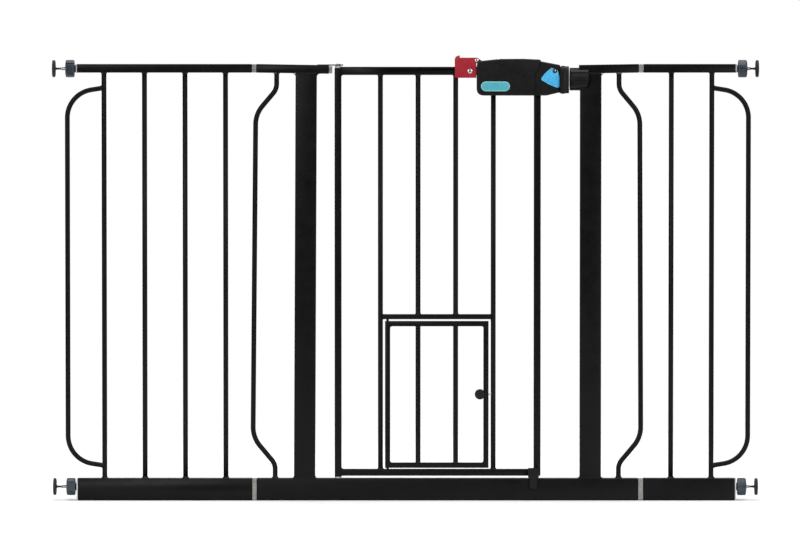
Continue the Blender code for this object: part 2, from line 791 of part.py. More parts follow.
def door_bars(swing):
    foot = DOOR_FOOT + DOOR_SILL_HEIGHT + GAP
    top = DOOR_RAIL_TOP - DOOR_RAIL - GAP
    left = DOOR_FIRST_BAR
    right = DOOR_FIRST_BAR + 3 * DOOR_BAR_PITCH
    upright_bar("door_long_bar_left", left, foot, top, swing)
    strike_bar = upright_bar("door_long_bar_right", right, foot, top, swing)
    start = (right - CUTTER_REACH, 0, PET_LATCH_HEIGHT)
    end = (right + 2 * MM, 0, PET_LATCH_HEIGHT)
    hole = cylinder("strike_hole", start, end, PET_LATCH_RADIUS + 0.5 * MM, 16)
    cut(strike_bar, hole)
    door_grille(swing, left, right, top)


def door_grille(swing, left, right, top):
    """The crossbar over the pet door with the short bars that stand on it, welded into one piece."""
    half = CROSSBAR / 2
    low = (left + BAR_RADIUS + GAP, -half, CROSSBAR_FOOT)
    high = (right - BAR_RADIUS - GAP, half, CROSSBAR_FOOT + CROSSBAR)
    grille = box("door_upper_grille", low, high)
    for number in (1, 2):
        x = DOOR_FIRST_BAR + number * DOOR_BAR_PITCH
        start = (x, 0, CROSSBAR_FOOT + half)
        join(grille, cylinder(f"short_bar_{number}", start, (x, 0, top), BAR_RADIUS))
    pet_axis = PET_LEFT + PET_BAR / 2
    start = (pet_axis, 0, CROSSBAR_FOOT - CUTTER_REACH)
    end = (pet_axis, 0, CROSSBAR_FOOT + 6 * MM)
    cut(grille, cylinder("crossbar_pin_hole", start, end, PET_PIN_RADIUS + GAP))
    finish(grille, "black_powder_coat", swing)


def bottom_catch(swing):
    """The tongue at the door's foot that laps the front of the base rail, so the door opens forwards."""
    left, right = 214 * MM, 233 * MM
    inset = 3 * MM
    radius = (right - left) / 2 - inset
    middle = (left + right) / 2
    foot = 20 * MM
    shoulder = 41 * MM
    outline = [(left, 57 * MM), (left, shoulder), (left + inset, shoulder - inset)]
    for step in range(9):
        angle = math.radians(180 + 22.5 * step)
        x = middle + radius * math.cos(angle)
        outline.append((x, foot + radius + radius * math.sin(angle)))
    outline.append((right - inset, shoulder - inset))
    outline.append((right, shoulder))
    outline.append((right, 57 * MM))
    front = RAIL_DEPTH / 2 + 0.7 * MM
    thickness = 3.5 * MM
    tongue = plate("bottom_catch", outline, -front - thickness / 2, thickness)
    low = (left + 1 * MM, -front - thickness / 2, DOOR_FOOT + 1 * MM)
    high = (right - 1 * MM, -POST / 2 - GAP, 56 * MM)
    join(tongue, box("catch_foot", low, high))
    finish(tongue, "black_plastic", swing)


def handle_bracket(swing):
    """The red channel over the top rail whose two ears carry the lever's pivot pin."""
    half = BRACKET_HALF_DEPTH
    ear = 4.6 * MM
    outline = [
        (BRACKET_LEFT, BRACKET_FOOT),
        (BRACKET_RIGHT, BRACKET_FOOT),
        (BRACKET_RIGHT, PIVOT_Z - ear),
    ]
    for step in range(-4, 5):
        angle = math.radians(15 * step + 15)
        outline.append((PIVOT_X + ear * math.cos(angle), PIVOT_Z + ear * math.sin(angle)))
    outline.append((PIVOT_X - 4 * MM, BRACKET_TOP))
    outline.append((BRACKET_LEFT + 9 * MM, BRACKET_TOP))
    outline.append((BRACKET_LEFT + 8 * MM, BRACKET_TOP + 4.5 * MM))
    outline.append((BRACKET_LEFT + 2 * MM, BRACKET_TOP + 2 * MM))
    outline.append((BRACKET_LEFT, BRACKET_TOP - 2 * MM))
    bracket = plate("handle_bracket", outline, 0, 2 * half)
    inner = half - BRACKET_WALL
    low = (BRACKET_LEFT - CUTTER_REACH, -inner, BRACKET_FOOT - CUTTER_REACH)
    high = (BRACKET_RIGHT + CUTTER_REACH, inner, BRACKET_TOP - BRACKET_WALL)
    cut(bracket, box("bracket_channel", low, high))
    low = (PIVOT_X - 7 * MM, -inner, BRACKET_FOOT)
    high = (PIVOT_X + CUTTER_REACH, inner, BRACKET_TOP + CUTTER_REACH)
    cut(bracket, box("bracket_lug_space", low, high))
    low = (BRACKET_LEFT - CUTTER_REACH, -CUTTER_REACH, BRACKET_TOP)
    high = (BRACKET_RIGHT, -half / 2, BRACKET_TOP + CUTTER_REACH)
    cut(bracket, box("bracket_tab_front", low, high))
    high = (BRACKET_RIGHT, CUTTER_REACH, BRACKET_TOP + CUTTER_REACH)
    low = (BRACKET_LEFT - CUTTER_REACH, half / 2, BRACKET_TOP)
    cut(bracket, box("bracket_tab_rear", low, high))
    for name, x, z, radius in (
        ("bracket_pin_hole", PIVOT_X, PIVOT_Z, PIVOT_PIN_RADIUS),
        ("bracket_rivet_hole", RIVET_X, RIVET_Z, 2.5 * MM),
    ):
        start = (x, -CUTTER_REACH, z)
        end = (x, CUTTER_REACH, z)
        cut(bracket, cylinder(name, start, end, radius + GAP, 20))
    finish(bracket, "red_plastic", swing)


def headed_pin(name, x, z, shank, head, half_length, head_height, parent):
    """A rivet across the gate with a domed head at each end."""
    top = half_length + head_height
    profile = [
        (0, top),
        (head * 0.6, top - head_height * 0.15),
        (head, half_length + head_height * 0.35),
        (head, half_length),
        (shank, half_length),
        (shank, -half_length),
        (head, -half_length),
        (head, -half_length - head_height * 0.35),
        (head * 0.6, -top + head_height * 0.15),
        (0, -top),
    ]
    pin = turned(name, profile, (x, 0, z), (0, 1, 0), 20)
    finish(pin, "zinc", parent)


def door(swing):
    door_posts(swing)
    post_bushing(swing)
    door_rails(swing)
    door_bars(swing)
    bottom_catch(swing)
    handle_bracket(swing)
    reach = BRACKET_HALF_DEPTH + GAP
    headed_pin("bracket_rivet", RIVET_X, RIVET_Z, 2.5 * MM, 4 * MM, reach, 1.4 * MM, swing)
    headed_pin(
        "handle_pivot_pin", PIVOT_X, PIVOT_Z, PIVOT_PIN_RADIUS, 3 * MM, reach, 1 * MM, swing
    )


# Lever handle


def handle_outline(inset, foot):
    """The handle seen from the front, drawn in by inset on its top, left and right."""
    top = 768.4 * MM - inset
    left = HANDLE_LEFT + inset
    right = HANDLE_RIGHT - inset
    corner = 12 * MM if inset == 0 else 0
    points = [
        (right, foot + (5.6 * MM if inset == 0 else 0)),
        (right, 757.5 * MM - inset),
        (246 * MM - inset, top - 3.8 * MM),
        (230 * MM - inset, top),
        (147 * MM + inset / 2, top),
        (131 * MM + inset, top - 2.9 * MM),
        (left, 758 * MM - inset / 2),
    ]
    if inset:
        return points + [(left, foot)]
    points.append((left, foot + corner))
    for step in range(1, 5):
        angle = math.radians(180 + 22.5 * step)
        x = left + corner + corner * math.cos(angle)
        points.append((x, foot + corner + corner * math.sin(angle)))
    points.append((246 * MM, foot))
    return points


def hood_outline(inset):
    """The hood seen from the end: straight sides under a rounded top."""
    half = HOOD_HALF_DEPTH - inset
    top = HOOD_TOP - inset
    foot = HOOD_FOOT if inset == 0 else HOOD_FOOT - CUTTER_REACH
    corner = 14 * MM - inset
    points = [(-half, foot), (half, foot)]
    for quarter, side in ((0, 1), (1, -1)):
        for step in range(5):
            angle = math.radians(90 * quarter + 22.5 * step)
            x = side * (half - corner) + corner * math.cos(angle)
            points.append((x, top - corner + corner * math.sin(angle)))
    return points


def handle_tools():
    """The shapes that both halves of the handle share, made once."""
    tools = {"add": [], "take": []}
    web_start = HANDLE_RIGHT - 1.8 * MM
    length = HOOD_END - web_start
    hood = plate("hood", hood_outline(0), web_start + length / 2, length, "X")
    round_edges(hood, 1.2 * MM)
    tools["add"].append(hood)
    lug_half = BRACKET_HALF_DEPTH - BRACKET_WALL - 2 * GAP
    start = (PIVOT_X, -lug_half, PIVOT_Z)
    end = (PIVOT_X, lug_half, PIVOT_Z)
    tools["add"].append(cylinder("pivot_lug", start, end, 4.2 * MM))
    neck = [
        (PIVOT_X - 2.4 * MM, PIVOT_Z - 3.4 * MM),
        (129 * MM, PIVOT_Z - 8 * MM),
        (141 * MM, PIVOT_Z - 6.1 * MM),
        (141 * MM, PIVOT_Z - 2.2 * MM),
        (133 * MM, PIVOT_Z - 1 * MM),
        (PIVOT_X + 1.6 * MM, PIVOT_Z + 3.8 * MM),
    ]
    tools["add"].append(plate("pivot_neck", neck, 0, 2 * lug_half))
    start = (SCREW_X, -HANDLE_HALF_DEPTH + 1 * MM, SCREW_Z)
    end = (SCREW_X, HANDLE_HALF_DEPTH - 1 * MM, SCREW_Z)
    tools["add"].append(cylinder("screw_boss", start, end, 3.5 * MM))

    hollow_start = HANDLE_RIGHT + 0.9 * MM
    length = HOOD_END + 5 * MM - hollow_start
    centre = hollow_start + length / 2
    inner = plate("hood_hollow", hood_outline(HANDLE_WALL), centre, length, "X")
    tools["take"].append(inner)
    low = (HANDLE_LEFT - 5 * MM, -8.6 * MM, HANDLE_FOOT - CUTTER_REACH)
    high = (HANDLE_LEFT + HANDLE_WALL + 1 * MM, 8.6 * MM, DOOR_RAIL_TOP + 2.5 * MM)
    tools["take"].append(box("rail_notch", low, high))
    start = (PIVOT_X, -CUTTER_REACH, PIVOT_Z)
    end = (PIVOT_X, CUTTER_REACH, PIVOT_Z)
    tools["take"].append(cylinder("lug_bore", start, end, PIVOT_PIN_RADIUS + GAP, 20))
    start = (HANDLE_RIGHT - 10 * MM, 0, BOLT_Z)
    end = (HANDLE_RIGHT + 10 * MM, 0, BOLT_Z)
    tools["take"].append(cylinder("bolt_hole", start, end, BOLT_RADIUS + 0.4 * MM))
    start = (SCREW_X, -CUTTER_REACH, SCREW_Z)
    end = (SCREW_X, HANDLE_HALF_DEPTH - 3 * MM, SCREW_Z)
    tools["take"].append(cylinder("screw_hole", start, end, 1.5 * MM + GAP, 16))
    low = (185.3 * MM, -13.2 * MM, 760 * MM)
    high = (196.7 * MM + SLIDE_STROKE, -9 * MM, 775 * MM)
    tools["take"].append(box("stem_slot", low, high))
    return tools


def handle_shell(name, keep_front, tools, lift):
    """Half of the lever, open below, split from its other half along the middle plane."""
    outline = handle_outline(0, HANDLE_FOOT)
    shell = plate(name, outline, 0, 2 * HANDLE_HALF_DEPTH)
    round_edges(shell, 2.5 * MM)
    hollow_depth = 2 * (HANDLE_HALF_DEPTH - HANDLE_WALL)
    hollow = plate(
        f"{name}_hollow",
        handle_outline(HANDLE_WALL, HANDLE_FOOT - 20 * MM),
        0,
        hollow_depth,
    )
    cut(shell, hollow)
    for tool in tools["add"]:
        join(shell, tool)
    for tool in tools["take"]:
        cut(shell, tool)
    low = [HANDLE_LEFT - CUTTER_REACH, -GAP / 2, HANDLE_FOOT - CUTTER_REACH]
    high = [HOOD_END + CUTTER_REACH, CUTTER_REACH, BRACKET_TOP + CUTTER_REACH]
    if not keep_front:
        low[1] = -CUTTER_REACH
        high[1] = GAP / 2
    cut(shell, box(f"{name}_other_half", low, high))
    finish(shell, "black_plastic", lift)


def handle_screw(lift):
    """The screw that holds the two halves together, with its head in the front face."""
    face = HANDLE_HALF_DEPTH + GAP
    profile = [
        (0, face + 1 * MM),
        (2.1 * MM, face + 0.9 * MM),
        (2.8 * MM, face + 0.3 * MM),
        (2.8 * MM, face),
        (1.5 * MM, face),
        (1.5 * MM, -HANDLE_HALF_DEPTH + 4 * MM),
        (0, -HANDLE_HALF_DEPTH + 4 * MM),
    ]
    screw = turned("handle_screw", profile, (SCREW_X, 0, SCREW_Z), (0, -1, 0), 20)
    finish(screw, "zinc", lift)


def thumb_outline():
    """The thumb slide seen from the front: a flat crown over a skirt with a rounded tip."""
    left, right = 163 * MM, 236 * MM
    points = [(left, 759 * MM), (left, 768.5 * MM), (left + 4 * MM, 771.4 * MM)]
    points.append((202 * MM, 771.4 * MM))
    points.append((right - 3 * MM, 770 * MM))
    points.append((right, 768.5 * MM))
    points.append((right - 1 * MM, 761 * MM))
    tip_x, tip_z = 209 * MM, 741 * MM
    for step in range(1, 6):
        angle = math.radians(18 * step)
        x = tip_x + (right - 1 * MM - tip_x) * math.cos(angle)
        points.append((x, tip_z + 20 * MM * (1 - math.sin(angle))))
    for step in range(1, 5):
        angle = math.radians(22.5 * step)
        x = tip_x - (tip_x - left) * math.sin(angle)
        points.append((x, tip_z + 18 * MM * (1 - math.cos(angle))))
    return points[1:]


def thumb_slide(slide):
    """The saddle that the thumb pushes, with a stem down through the handle's top."""
    clear = HANDLE_HALF_DEPTH + GAP
    skirt = 1.6 * MM
    thumb = plate("thumb_slide", thumb_outline(), 0, 2 * (clear + skirt))
    round_edges(thumb, 0.8 * MM)
    ceiling = 768.8 * MM
    low = (150 * MM, -clear, ceiling - CUTTER_REACH)
    high = (250 * MM, clear, ceiling)
    cut(thumb, box("thumb_hollow", low, high))
    low = (186 * MM, -12.6 * MM, 752 * MM)
    high = (196 * MM, -9.6 * MM, 770 * MM)
    join(thumb, box("thumb_stem", low, high))
    finish(thumb, "black_plastic", slide)


def latch_bolt(slide):
    """The bolt, and the bar beside the rail that ties it to the thumb slide."""
    front, back = -12.6 * MM, -9.6 * MM
    bar = box("latch_bolt", (186 * MM, front, 744.5 * MM), (246 * MM, back, 752 * MM - GAP))
    low = (238 * MM, front, BOLT_Z - 4.5 * MM)
    join(bar, box("bolt_drop", low, (246 * MM, back, 750 * MM)))
    block_end = HANDLE_RIGHT - HANDLE_WALL - SLIDE_STROKE - 1 * MM
    high = (block_end, BOLT_RADIUS + 1 * MM, BOLT_Z + 4.5 * MM)
    join(bar, box("bolt_block", low, high))
    start = (block_end - 4 * MM, 0, BOLT_Z)
    join(bar, cylinder("bolt_tip", start, (BOLT_TIP, 0, BOLT_Z), BOLT_RADIUS))
    finish(bar, "zinc", slide)


def lever_handle(swing):
    lift = joint_empty("lever_axis", (PIVOT_X, 0, PIVOT_Z), swing)
    slide = joint_empty("lock_slide_axis", (PIVOT_X, 0, BOLT_Z), lift)
    tools = handle_tools()
    handle_shell("handle_front_shell", True, tools, lift)
    handle_shell("handle_rear_shell", False, tools, lift)
    handle_screw(lift)
    thumb_slide(slide)
    latch_bolt(slide)


# Pet door


def pet_door_frame(pet_swing):
    """The small door: a welded ring of square bar with two bars in it, and a pin at each end of its left stile."""
    half = PET_BAR / 2
    ring = box("pet_door_frame", (PET_LEFT, -half, PET_FOOT), (PET_RIGHT, half, PET_TOP))
    low = (PET_LEFT + PET_BAR, -CUTTER_REACH, PET_FOOT + PET_BAR)
    high = (PET_RIGHT - PET_BAR, CUTTER_REACH, PET_TOP - PET_BAR)
    cut(ring, box("pet_door_opening", low, high))
    for number in (1, 2):
        x = DOOR_FIRST_BAR + number * DOOR_BAR_PITCH
        start, end = (x, 0, PET_FOOT + half), (x, 0, PET_TOP - half)
        join(ring, cylinder(f"pet_door_bar_{number}", start, end, BAR_RADIUS, 20))
    axis = PET_LEFT + half
    for name, z, reach in (("lower", PET_FOOT, -PET_PIN_REACH), ("upper", PET_TOP, PET_PIN_REACH)):
        start = (axis, 0, z - reach)
        end = (axis, 0, z + reach)
        join(ring, cylinder(f"pet_door_{name}_pin", start, end, PET_PIN_RADIUS, 16))
    start = (PET_RIGHT - 2 * PET_BAR, 0, PET_LATCH_HEIGHT)
    end = (PET_RIGHT + CUTTER_REACH, 0, PET_LATCH_HEIGHT)
    cut(ring, cylinder("pet_latch_bore", start, end, PET_LATCH_RADIUS + GAP, 16))
    finish(ring, "black_powder_coat", pet_swing)


def pet_latch(pet_slide):
    """The small door's moulded latch: a bolt through the right stile and a round knob in front."""
    start = (KNOB_X - 4 * MM, 0, PET_LATCH_HEIGHT)
    end = (PET_LATCH_TIP, 0, PET_LATCH_HEIGHT)
    latch = cylinder("pet_latch", start, end, PET_LATCH_RADIUS, 16)
    back = PET_BAR / 2 + 1.2 * MM
    profile = [
        (0, back + 8 * MM),
        (KNOB_RADIUS - 3 * MM, back + 7.4 * MM),
        (KNOB_RADIUS, back + 5 * MM),
        (KNOB_RADIUS, back + 1 * MM),
        (KNOB_RADIUS - 1 * MM, back),
        (KNOB_NECK_RADIUS, back),
        (KNOB_NECK_RADIUS, 0.4 * MM),
        (0, 0.4 * MM),
    ]
    centre = (KNOB_X, 0, PET_LATCH_HEIGHT)
    join(latch, turned("pet_latch_knob", profile, centre, (0, -1, 0), 28))
    finish(latch, "black_plastic", pet_slide)


def pet_door(swing):
    pet_swing = joint_empty("pet_door_axis", (PET_LEFT + PET_BAR / 2, 0, PET_FOOT), swing)
    pet_slide = joint_empty("pet_latch_axis", (KNOB_X, 0, PET_LATCH_HEIGHT), pet_swing)
    pet_door_frame(pet_swing)
    pet_latch(pet_slide)


def pet_gate():
    main_frame()
    panel("left", -1, LEFT_PANEL_INNER, LEFT_FIRST_BAR, 4)
    panel("right", 1, RIGHT_PANEL_INNER, RIGHT_FIRST_BAR, 2)
    for side, sign in (("left", -1), ("right", 1)):
        for level in SPINDLE_HEIGHTS:
            spindle(side, sign, level)
    swing = joint_empty("door_axis", (HINGE_X, 0, POST_FOOT))
    door(swing)
    lever_handle(swing)
    pet_door(swing)


pet_gate()
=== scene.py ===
"""The pet gate's looks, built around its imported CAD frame."""

import json
import math

import bmesh
import bpy
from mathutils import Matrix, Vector


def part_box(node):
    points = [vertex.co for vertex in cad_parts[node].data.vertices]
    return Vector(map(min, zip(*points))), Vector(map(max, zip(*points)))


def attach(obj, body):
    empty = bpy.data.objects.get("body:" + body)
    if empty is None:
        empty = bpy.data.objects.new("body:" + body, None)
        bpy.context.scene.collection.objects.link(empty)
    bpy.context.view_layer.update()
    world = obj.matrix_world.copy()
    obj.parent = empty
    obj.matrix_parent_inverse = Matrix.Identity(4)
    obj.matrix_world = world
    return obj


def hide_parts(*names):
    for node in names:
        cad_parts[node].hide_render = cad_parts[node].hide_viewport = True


MM = 0.001
SIDES = {"left": -1, "right": 1}
LEVELS = ("upper", "lower")
FRAME_BODY = "fixed_frame"

SPIGOT = 24.3 * MM  # from a coupler's end to its collar
ARC_STEP = 3  # degrees between two points of a bent rod
BAR_RADIUS = 4.35 * MM
LEAN = math.tan(math.radians(0.27))  # the left upright and its bowed bar, towards the doorway
BAND = 4.35 * MM  # half the height of the crossbar over the small door
WELD_OVERLAP = 0.2 * MM  # how far a bead's base sinks into the tube it sits on
SHORT_BARS = (21.9 * MM, 87.6 * MM)  # the bars the upper grille and the small door share
BOLT_Z = 735.7 * MM  # the latch bolt's axis, and the receiver's
SCREW = (260 * MM, 0, 750 * MM)  # the lever screw's axis
PIVOT = Vector((123.9 * MM, 0, 768.6 * MM))  # the lever's
SHELL_HALF = 17 * MM
SHELL_WALL = 2.4 * MM
SEAM = 0.15 * MM  # from each cover's edge to the lever's middle plane
BOLT_HOLE = 4.4 * MM  # radius
NUT_SIDES = 100
GROOVES = (27, -18.5, 66, -58)  # degrees above and below the receiver's axis

X_AXIS, Y_AXIS, Z_AXIS = Vector((1, 0, 0)), Vector((0, 1, 0)), Vector((0, 0, 1))

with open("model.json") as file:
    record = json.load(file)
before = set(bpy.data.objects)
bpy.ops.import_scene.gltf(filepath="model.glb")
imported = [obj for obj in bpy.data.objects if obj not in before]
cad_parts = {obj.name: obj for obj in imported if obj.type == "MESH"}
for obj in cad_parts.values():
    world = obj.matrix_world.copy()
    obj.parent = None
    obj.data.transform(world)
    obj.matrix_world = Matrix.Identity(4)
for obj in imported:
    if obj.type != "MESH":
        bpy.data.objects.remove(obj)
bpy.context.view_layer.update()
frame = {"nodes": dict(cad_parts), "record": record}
cad = frame["nodes"]


# Materials


def map_range(tree, value, start, end, low, high):
    """A node output that goes from low to high as value goes from start to end."""
    made = tree.nodes.new("ShaderNodeMapRange")
    for name, number in (
        ("From Min", start),
        ("From Max", end),
        ("To Min", low),
        ("To Max", high),
    ):
        made.inputs[name].default_value = number
    tree.links.new(value, made.inputs["Value"])
    return made.outputs["Result"]


class Finish:
    """A Principled material whose texture coordinates are the object's own, in metres."""

    def __init__(self, name, roughness, metallic=0.0, specular=0.5):
        self.material = bpy.data.materials.new(name)
        self.material.use_nodes = True
        self.tree = self.material.node_tree
        self.shader = self.tree.nodes["Principled BSDF"]
        self.shader.inputs["Metallic"].default_value = metallic
        self.shader.inputs["Roughness"].default_value = roughness
        self.shader.inputs["Specular IOR Level"].default_value = specular
        self.place = self.node("ShaderNodeTexCoord").outputs["Object"]
        self.height = None

    def node(self, kind, **values):
        made = self.tree.nodes.new(kind)
        for name, value in values.items():
            made.inputs[name.replace("_", " ")].default_value = value
        return made

    def link(self, output, entry):
        self.tree.links.new(output, entry)

    def noise(self, scale, detail):
        made = self.node("ShaderNodeTexNoise", Scale=scale, Detail=detail, Roughness=0.6)
        self.link(self.place, made.inputs["Vector"])
        return made.outputs["Fac"]

    def ramp(self, value, low, high, start=0.3, end=0.7):
        """Colours from low to high as value goes from start to end."""
        made = self.node("ShaderNodeValToRGB")
        stops = made.color_ramp.elements
        stops[0].position = start
        stops[1].position = end
        stops[0].color = (*low, 1)
        stops[1].color = (*high, 1)
        self.link(value, made.inputs["Fac"])
        return made.outputs["Color"]

    def mix(self, share, low, high):
        made = self.tree.nodes.new("ShaderNodeMix")
        made.data_type = "RGBA"
        self.link(share, made.inputs["Factor"])
        self.link(low, made.inputs[6])
        self.link(high, made.inputs[7])
        return made.outputs[2]

    def range(self, value, low, high, start=0.3, end=0.7):
        return map_range(self.tree, value, start, end, low, high)

    def colour(self, output):
        self.link(output, self.shader.inputs["Base Color"])

    def rough(self, value, low, high):
        self.link(self.range(value, low, high), self.shader.inputs["Roughness"])

    def bump(self, value, strength, distance):
        made = self.node("ShaderNodeBump", Strength=strength, Distance=distance)
        self.link(value, made.inputs["Height"])
        if self.height:
            self.link(self.height, made.inputs["Normal"])
        self.height = made.outputs["Normal"]
        self.link(self.height, self.shader.inputs["Normal"])


def powder_coat():
    finish = Finish("black_powder_coat", 0.4, specular=0.13)
    broad = finish.noise(14, 2)
    grain = finish.noise(1500, 2)
    finish.colour(finish.ramp(broad, (0.0013, 0.0013, 0.0014), (0.0028, 0.0027, 0.0028)))
    finish.rough(finish.noise(60, 4), 0.34, 0.46)
    finish.bump(grain, 0.05, 0.0002)
    finish.bump(finish.noise(320, 2), 0.05, 0.0004)
    return finish.material


def moulded(name, low, high, rough_low, rough_high, grain=0.25, specular=0.4):
    """A moulded plastic with a fine spark-eroded grain and slight unevenness in colour."""
    finish = Finish(name, rough_low, specular=specular)
    finish.colour(finish.ramp(finish.noise(45, 4), low, high))
    finish.rough(finish.noise(130, 3), rough_low, rough_high)
    finish.bump(finish.noise(2600, 2), grain, 0.0001)
    finish.bump(finish.noise(40, 2), 0.05, 0.001)
    return finish.material


def milky_nylon():
    finish = Finish("milky_nylon", 0.3)
    finish.colour(finish.ramp(finish.noise(160, 3), (0.17, 0.173, 0.160), (0.28, 0.283, 0.262)))
    finish.shader.inputs["Subsurface Weight"].default_value = 0.35
    finish.shader.inputs["Subsurface Radius"].default_value = (0.004, 0.004, 0.0035)
    finish.rough(finish.noise(220, 3), 0.24, 0.4)
    finish.bump(finish.noise(700, 2), 0.15, 0.0002)
    return finish.material


def zinc_plate():
    finish = Finish("zinc_plate", 0.28, 1.0)
    cloud = finish.noise(70, 4)
    finish.colour(finish.ramp(cloud, (0.50, 0.50, 0.51), (0.74, 0.74, 0.75)))
    finish.rough(finish.noise(400, 3), 0.2, 0.38)
    finish.bump(finish.noise(1800, 3), 0.15, 0.0001)
    return finish.material


def printed_label(name, low, high, edge):
    """A glossy printed film that pales towards one side, with a faint mottle."""
    finish = Finish(name, 0.25)
    mottle = finish.noise(420, 3)
    fade = finish.noise(26, 1)
    body = finish.mix(
        fade, finish.ramp(mottle, low, high), finish.ramp(mottle, high, edge, 0.35, 0.8)
    )
    finish.colour(body)
    finish.rough(finish.noise(300, 2), 0.2, 0.32)
    finish.shader.inputs["Coat Weight"].default_value = 0.4
    finish.bump(finish.noise(900, 2), 0.08, 0.0001)
    return finish.material


POWDER = powder_coat()
BLACK = moulded(
    "black_plastic", (0.0042, 0.0038, 0.0039), (0.0078, 0.0070, 0.0072), 0.42, 0.54, 0.15, 0.15
)
RED = moulded("red_plastic", (0.27, 0.010, 0.018), (0.35, 0.018, 0.030), 0.36, 0.46, 0.15, 0.25)
SLATE = moulded("slate_plastic", (0.016, 0.023, 0.034), (0.042, 0.053, 0.070), 0.32, 0.46, 0.1)
GREY = moulded("grey_plastic", (0.36, 0.36, 0.37), (0.5, 0.5, 0.51), 0.4, 0.5)
RUBBER = moulded("pad_rubber", (0.010, 0.008, 0.007), (0.024, 0.019, 0.016), 0.55, 0.72, 0.2, 0.2)
NYLON = milky_nylon()
ZINC = zinc_plate()
CYAN = printed_label("cyan_label", (0.045, 0.30, 0.38), (0.08, 0.38, 0.46), (0.16, 0.50, 0.58))
BLUE = printed_label("blue_label", (0.016, 0.28, 0.58), (0.05, 0.40, 0.72), (0.18, 0.58, 0.82))
PALE = printed_label("pale_label_edge", (0.20, 0.50, 0.56), (0.28, 0.58, 0.64), (0.4, 0.68, 0.74))
SLOT_OF = {
    POWDER: "black_powder_coat",
    BLACK: "black_plastic",
    RED: "red_plastic",
    SLATE: "slate_plastic",
    GREY: "grey_plastic",
    RUBBER: "pad_rubber",
    NYLON: "clear_nylon",
    ZINC: "zinc",
}
LOOK = {slot: material for material, slot in SLOT_OF.items()}


# Mesh helpers


def piece(name, edit, material, body, replaced=(), smooth=30):
    """An object from a bmesh in the gate's frame, riding on a body."""
    made = solid(name, edit)
    made.data.materials.append(material)
    made.data.shade_smooth()
    made.data.set_sharp_from_angle(angle=math.radians(smooth))
    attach(made, body)
    if replaced:
        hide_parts(*replaced)


def solid(name, edit):
    """A linked object from a bmesh, its normals facing out."""
    bmesh.ops.recalc_face_normals(edit, faces=edit.faces)
    mesh = bpy.data.meshes.new(name)
    edit.to_mesh(mesh)
    edit.free()
    made = bpy.data.objects.new(name, mesh)
    bpy.context.scene.collection.objects.link(made)
    return made


def bridge(edit, lower, upper):
    for i in range(len(lower)):
        j = (i + 1) % len(lower)
        edit.faces.new((lower[i], lower[j], upper[j], upper[i]))


def loft(edit, rings, looped=False):
    """Skins closed rings of points; the ends are capped, or the last ring joins the first."""
    made = [[edit.verts.new(point) for point in ring] for ring in rings]
    for lower, upper in zip(made, made[1:]):
        bridge(edit, lower, upper)
    if looped:
        bridge(edit, made[-1], made[0])
    else:
        edit.faces.new(made[0])
        edit.faces.new(made[-1])
    return edit


def circle(centre, radius, across, up, sides, shape=None):
    """Points round centre in the plane of across and up; shape(angle) scales the radius."""
    points = []
    for i in range(sides):
        angle = 2 * math.pi * i / sides
        size = radius * (shape(angle) if shape else 1)
        offset = across * math.cos(angle) + up * math.sin(angle)
        points.append(centre + size * offset)
    return points


def lathe(edit, profile, base, axis, sides, shape=None):
    """Skins (radius, height) points turned round axis from base; zero radius closes an end."""
    axis = Vector(axis).normalized()
    across = axis.orthogonal().normalized()
    if abs(axis.x) > 0.5:
        across = Y_AXIS
    up = axis.cross(across)
    rings = []
    for radius, height in profile:
        centre = Vector(base) + axis * height
        rings.append(circle(centre, max(radius, 0.00001), across, up, sides, shape))
    return loft(edit, rings)


def sweep(edit, path, radius, sides):
    """A round rod along points of the XZ plane."""
    rings = []
    for i, point in enumerate(path):
        back = path[max(i - 1, 0)]
        ahead = path[min(i + 1, len(path) - 1)]
        tangent = Vector((ahead[0] - back[0], 0, ahead[1] - back[1])).normalized()
        side = Vector((-tangent.z, 0, tangent.x))
        centre = Vector((point[0], 0, point[1]))
        rings.append(circle(centre, radius, side, Y_AXIS, sides))
    return loft(edit, rings)


def trace(start, heading, moves):
    """Points in the XZ plane along (length, 0) runs and (radius, turn) arcs, in degrees."""
    x, z = start
    points = [(x, z)]
    for size, turn in moves:
        count = max(1, round(abs(turn) / ARC_STEP))
        chord = 2 * size * math.sin(math.radians(abs(turn) / count / 2)) if turn else size
        for _ in range(count):
            heading += turn / count / 2
            x += chord * math.cos(math.radians(heading))
            z += chord * math.sin(math.radians(heading))
            heading += turn / count / 2
            points.append((x, z))
    return points


def smooth_outline(corners, steps):
    """A closed outline with each corner rounded: corners are (x, z, radius)."""
    outline = []
    count = len(corners)
    for i, (x, z, radius) in enumerate(corners):
        here = Vector((x, z))
        before = Vector(corners[i - 1][:2]) - here
        after = Vector(corners[(i + 1) % count][:2]) - here
        if radius <= 0:
            outline.append((x, z))
            continue
        half = before.angle(after) / 2
        reach = radius / math.tan(half)
        reach = min(reach, 0.48 * before.length, 0.48 * after.length)
        first = here + before.normalized() * reach
        last = here + after.normalized() * reach
        for step in range(steps + 1):
            t = step / steps
            point = first * (1 - t) ** 2 + here * 2 * t * (1 - t) + last * t**2
            outline.append((point.x, point.y))
    return outline


def shrink(corners, distance):
    """Anticlockwise (x, z, radius) corners moved inwards by distance."""
    moved = []
    count = len(corners)
    for i, (x, z, radius) in enumerate(corners):
        back = Vector(corners[i - 1][:2])
        ahead = Vector(corners[(i + 1) % count][:2])
        before = (Vector((x, z)) - back).normalized()
        after = (ahead - Vector((x, z))).normalized()
        share = distance / (1 + before.dot(after))
        x -= (before.y + after.y) * share
        z += (before.x + after.x) * share
        moved.append((x, z, max(radius - distance, 0.3 * MM) if radius else 0))
    return moved


def area(corners):
    total = 0
    for here, ahead in zip(corners, corners[1:] + corners[:1]):
        total += here[0] * ahead[1] - ahead[0] * here[1]
    return total / 2


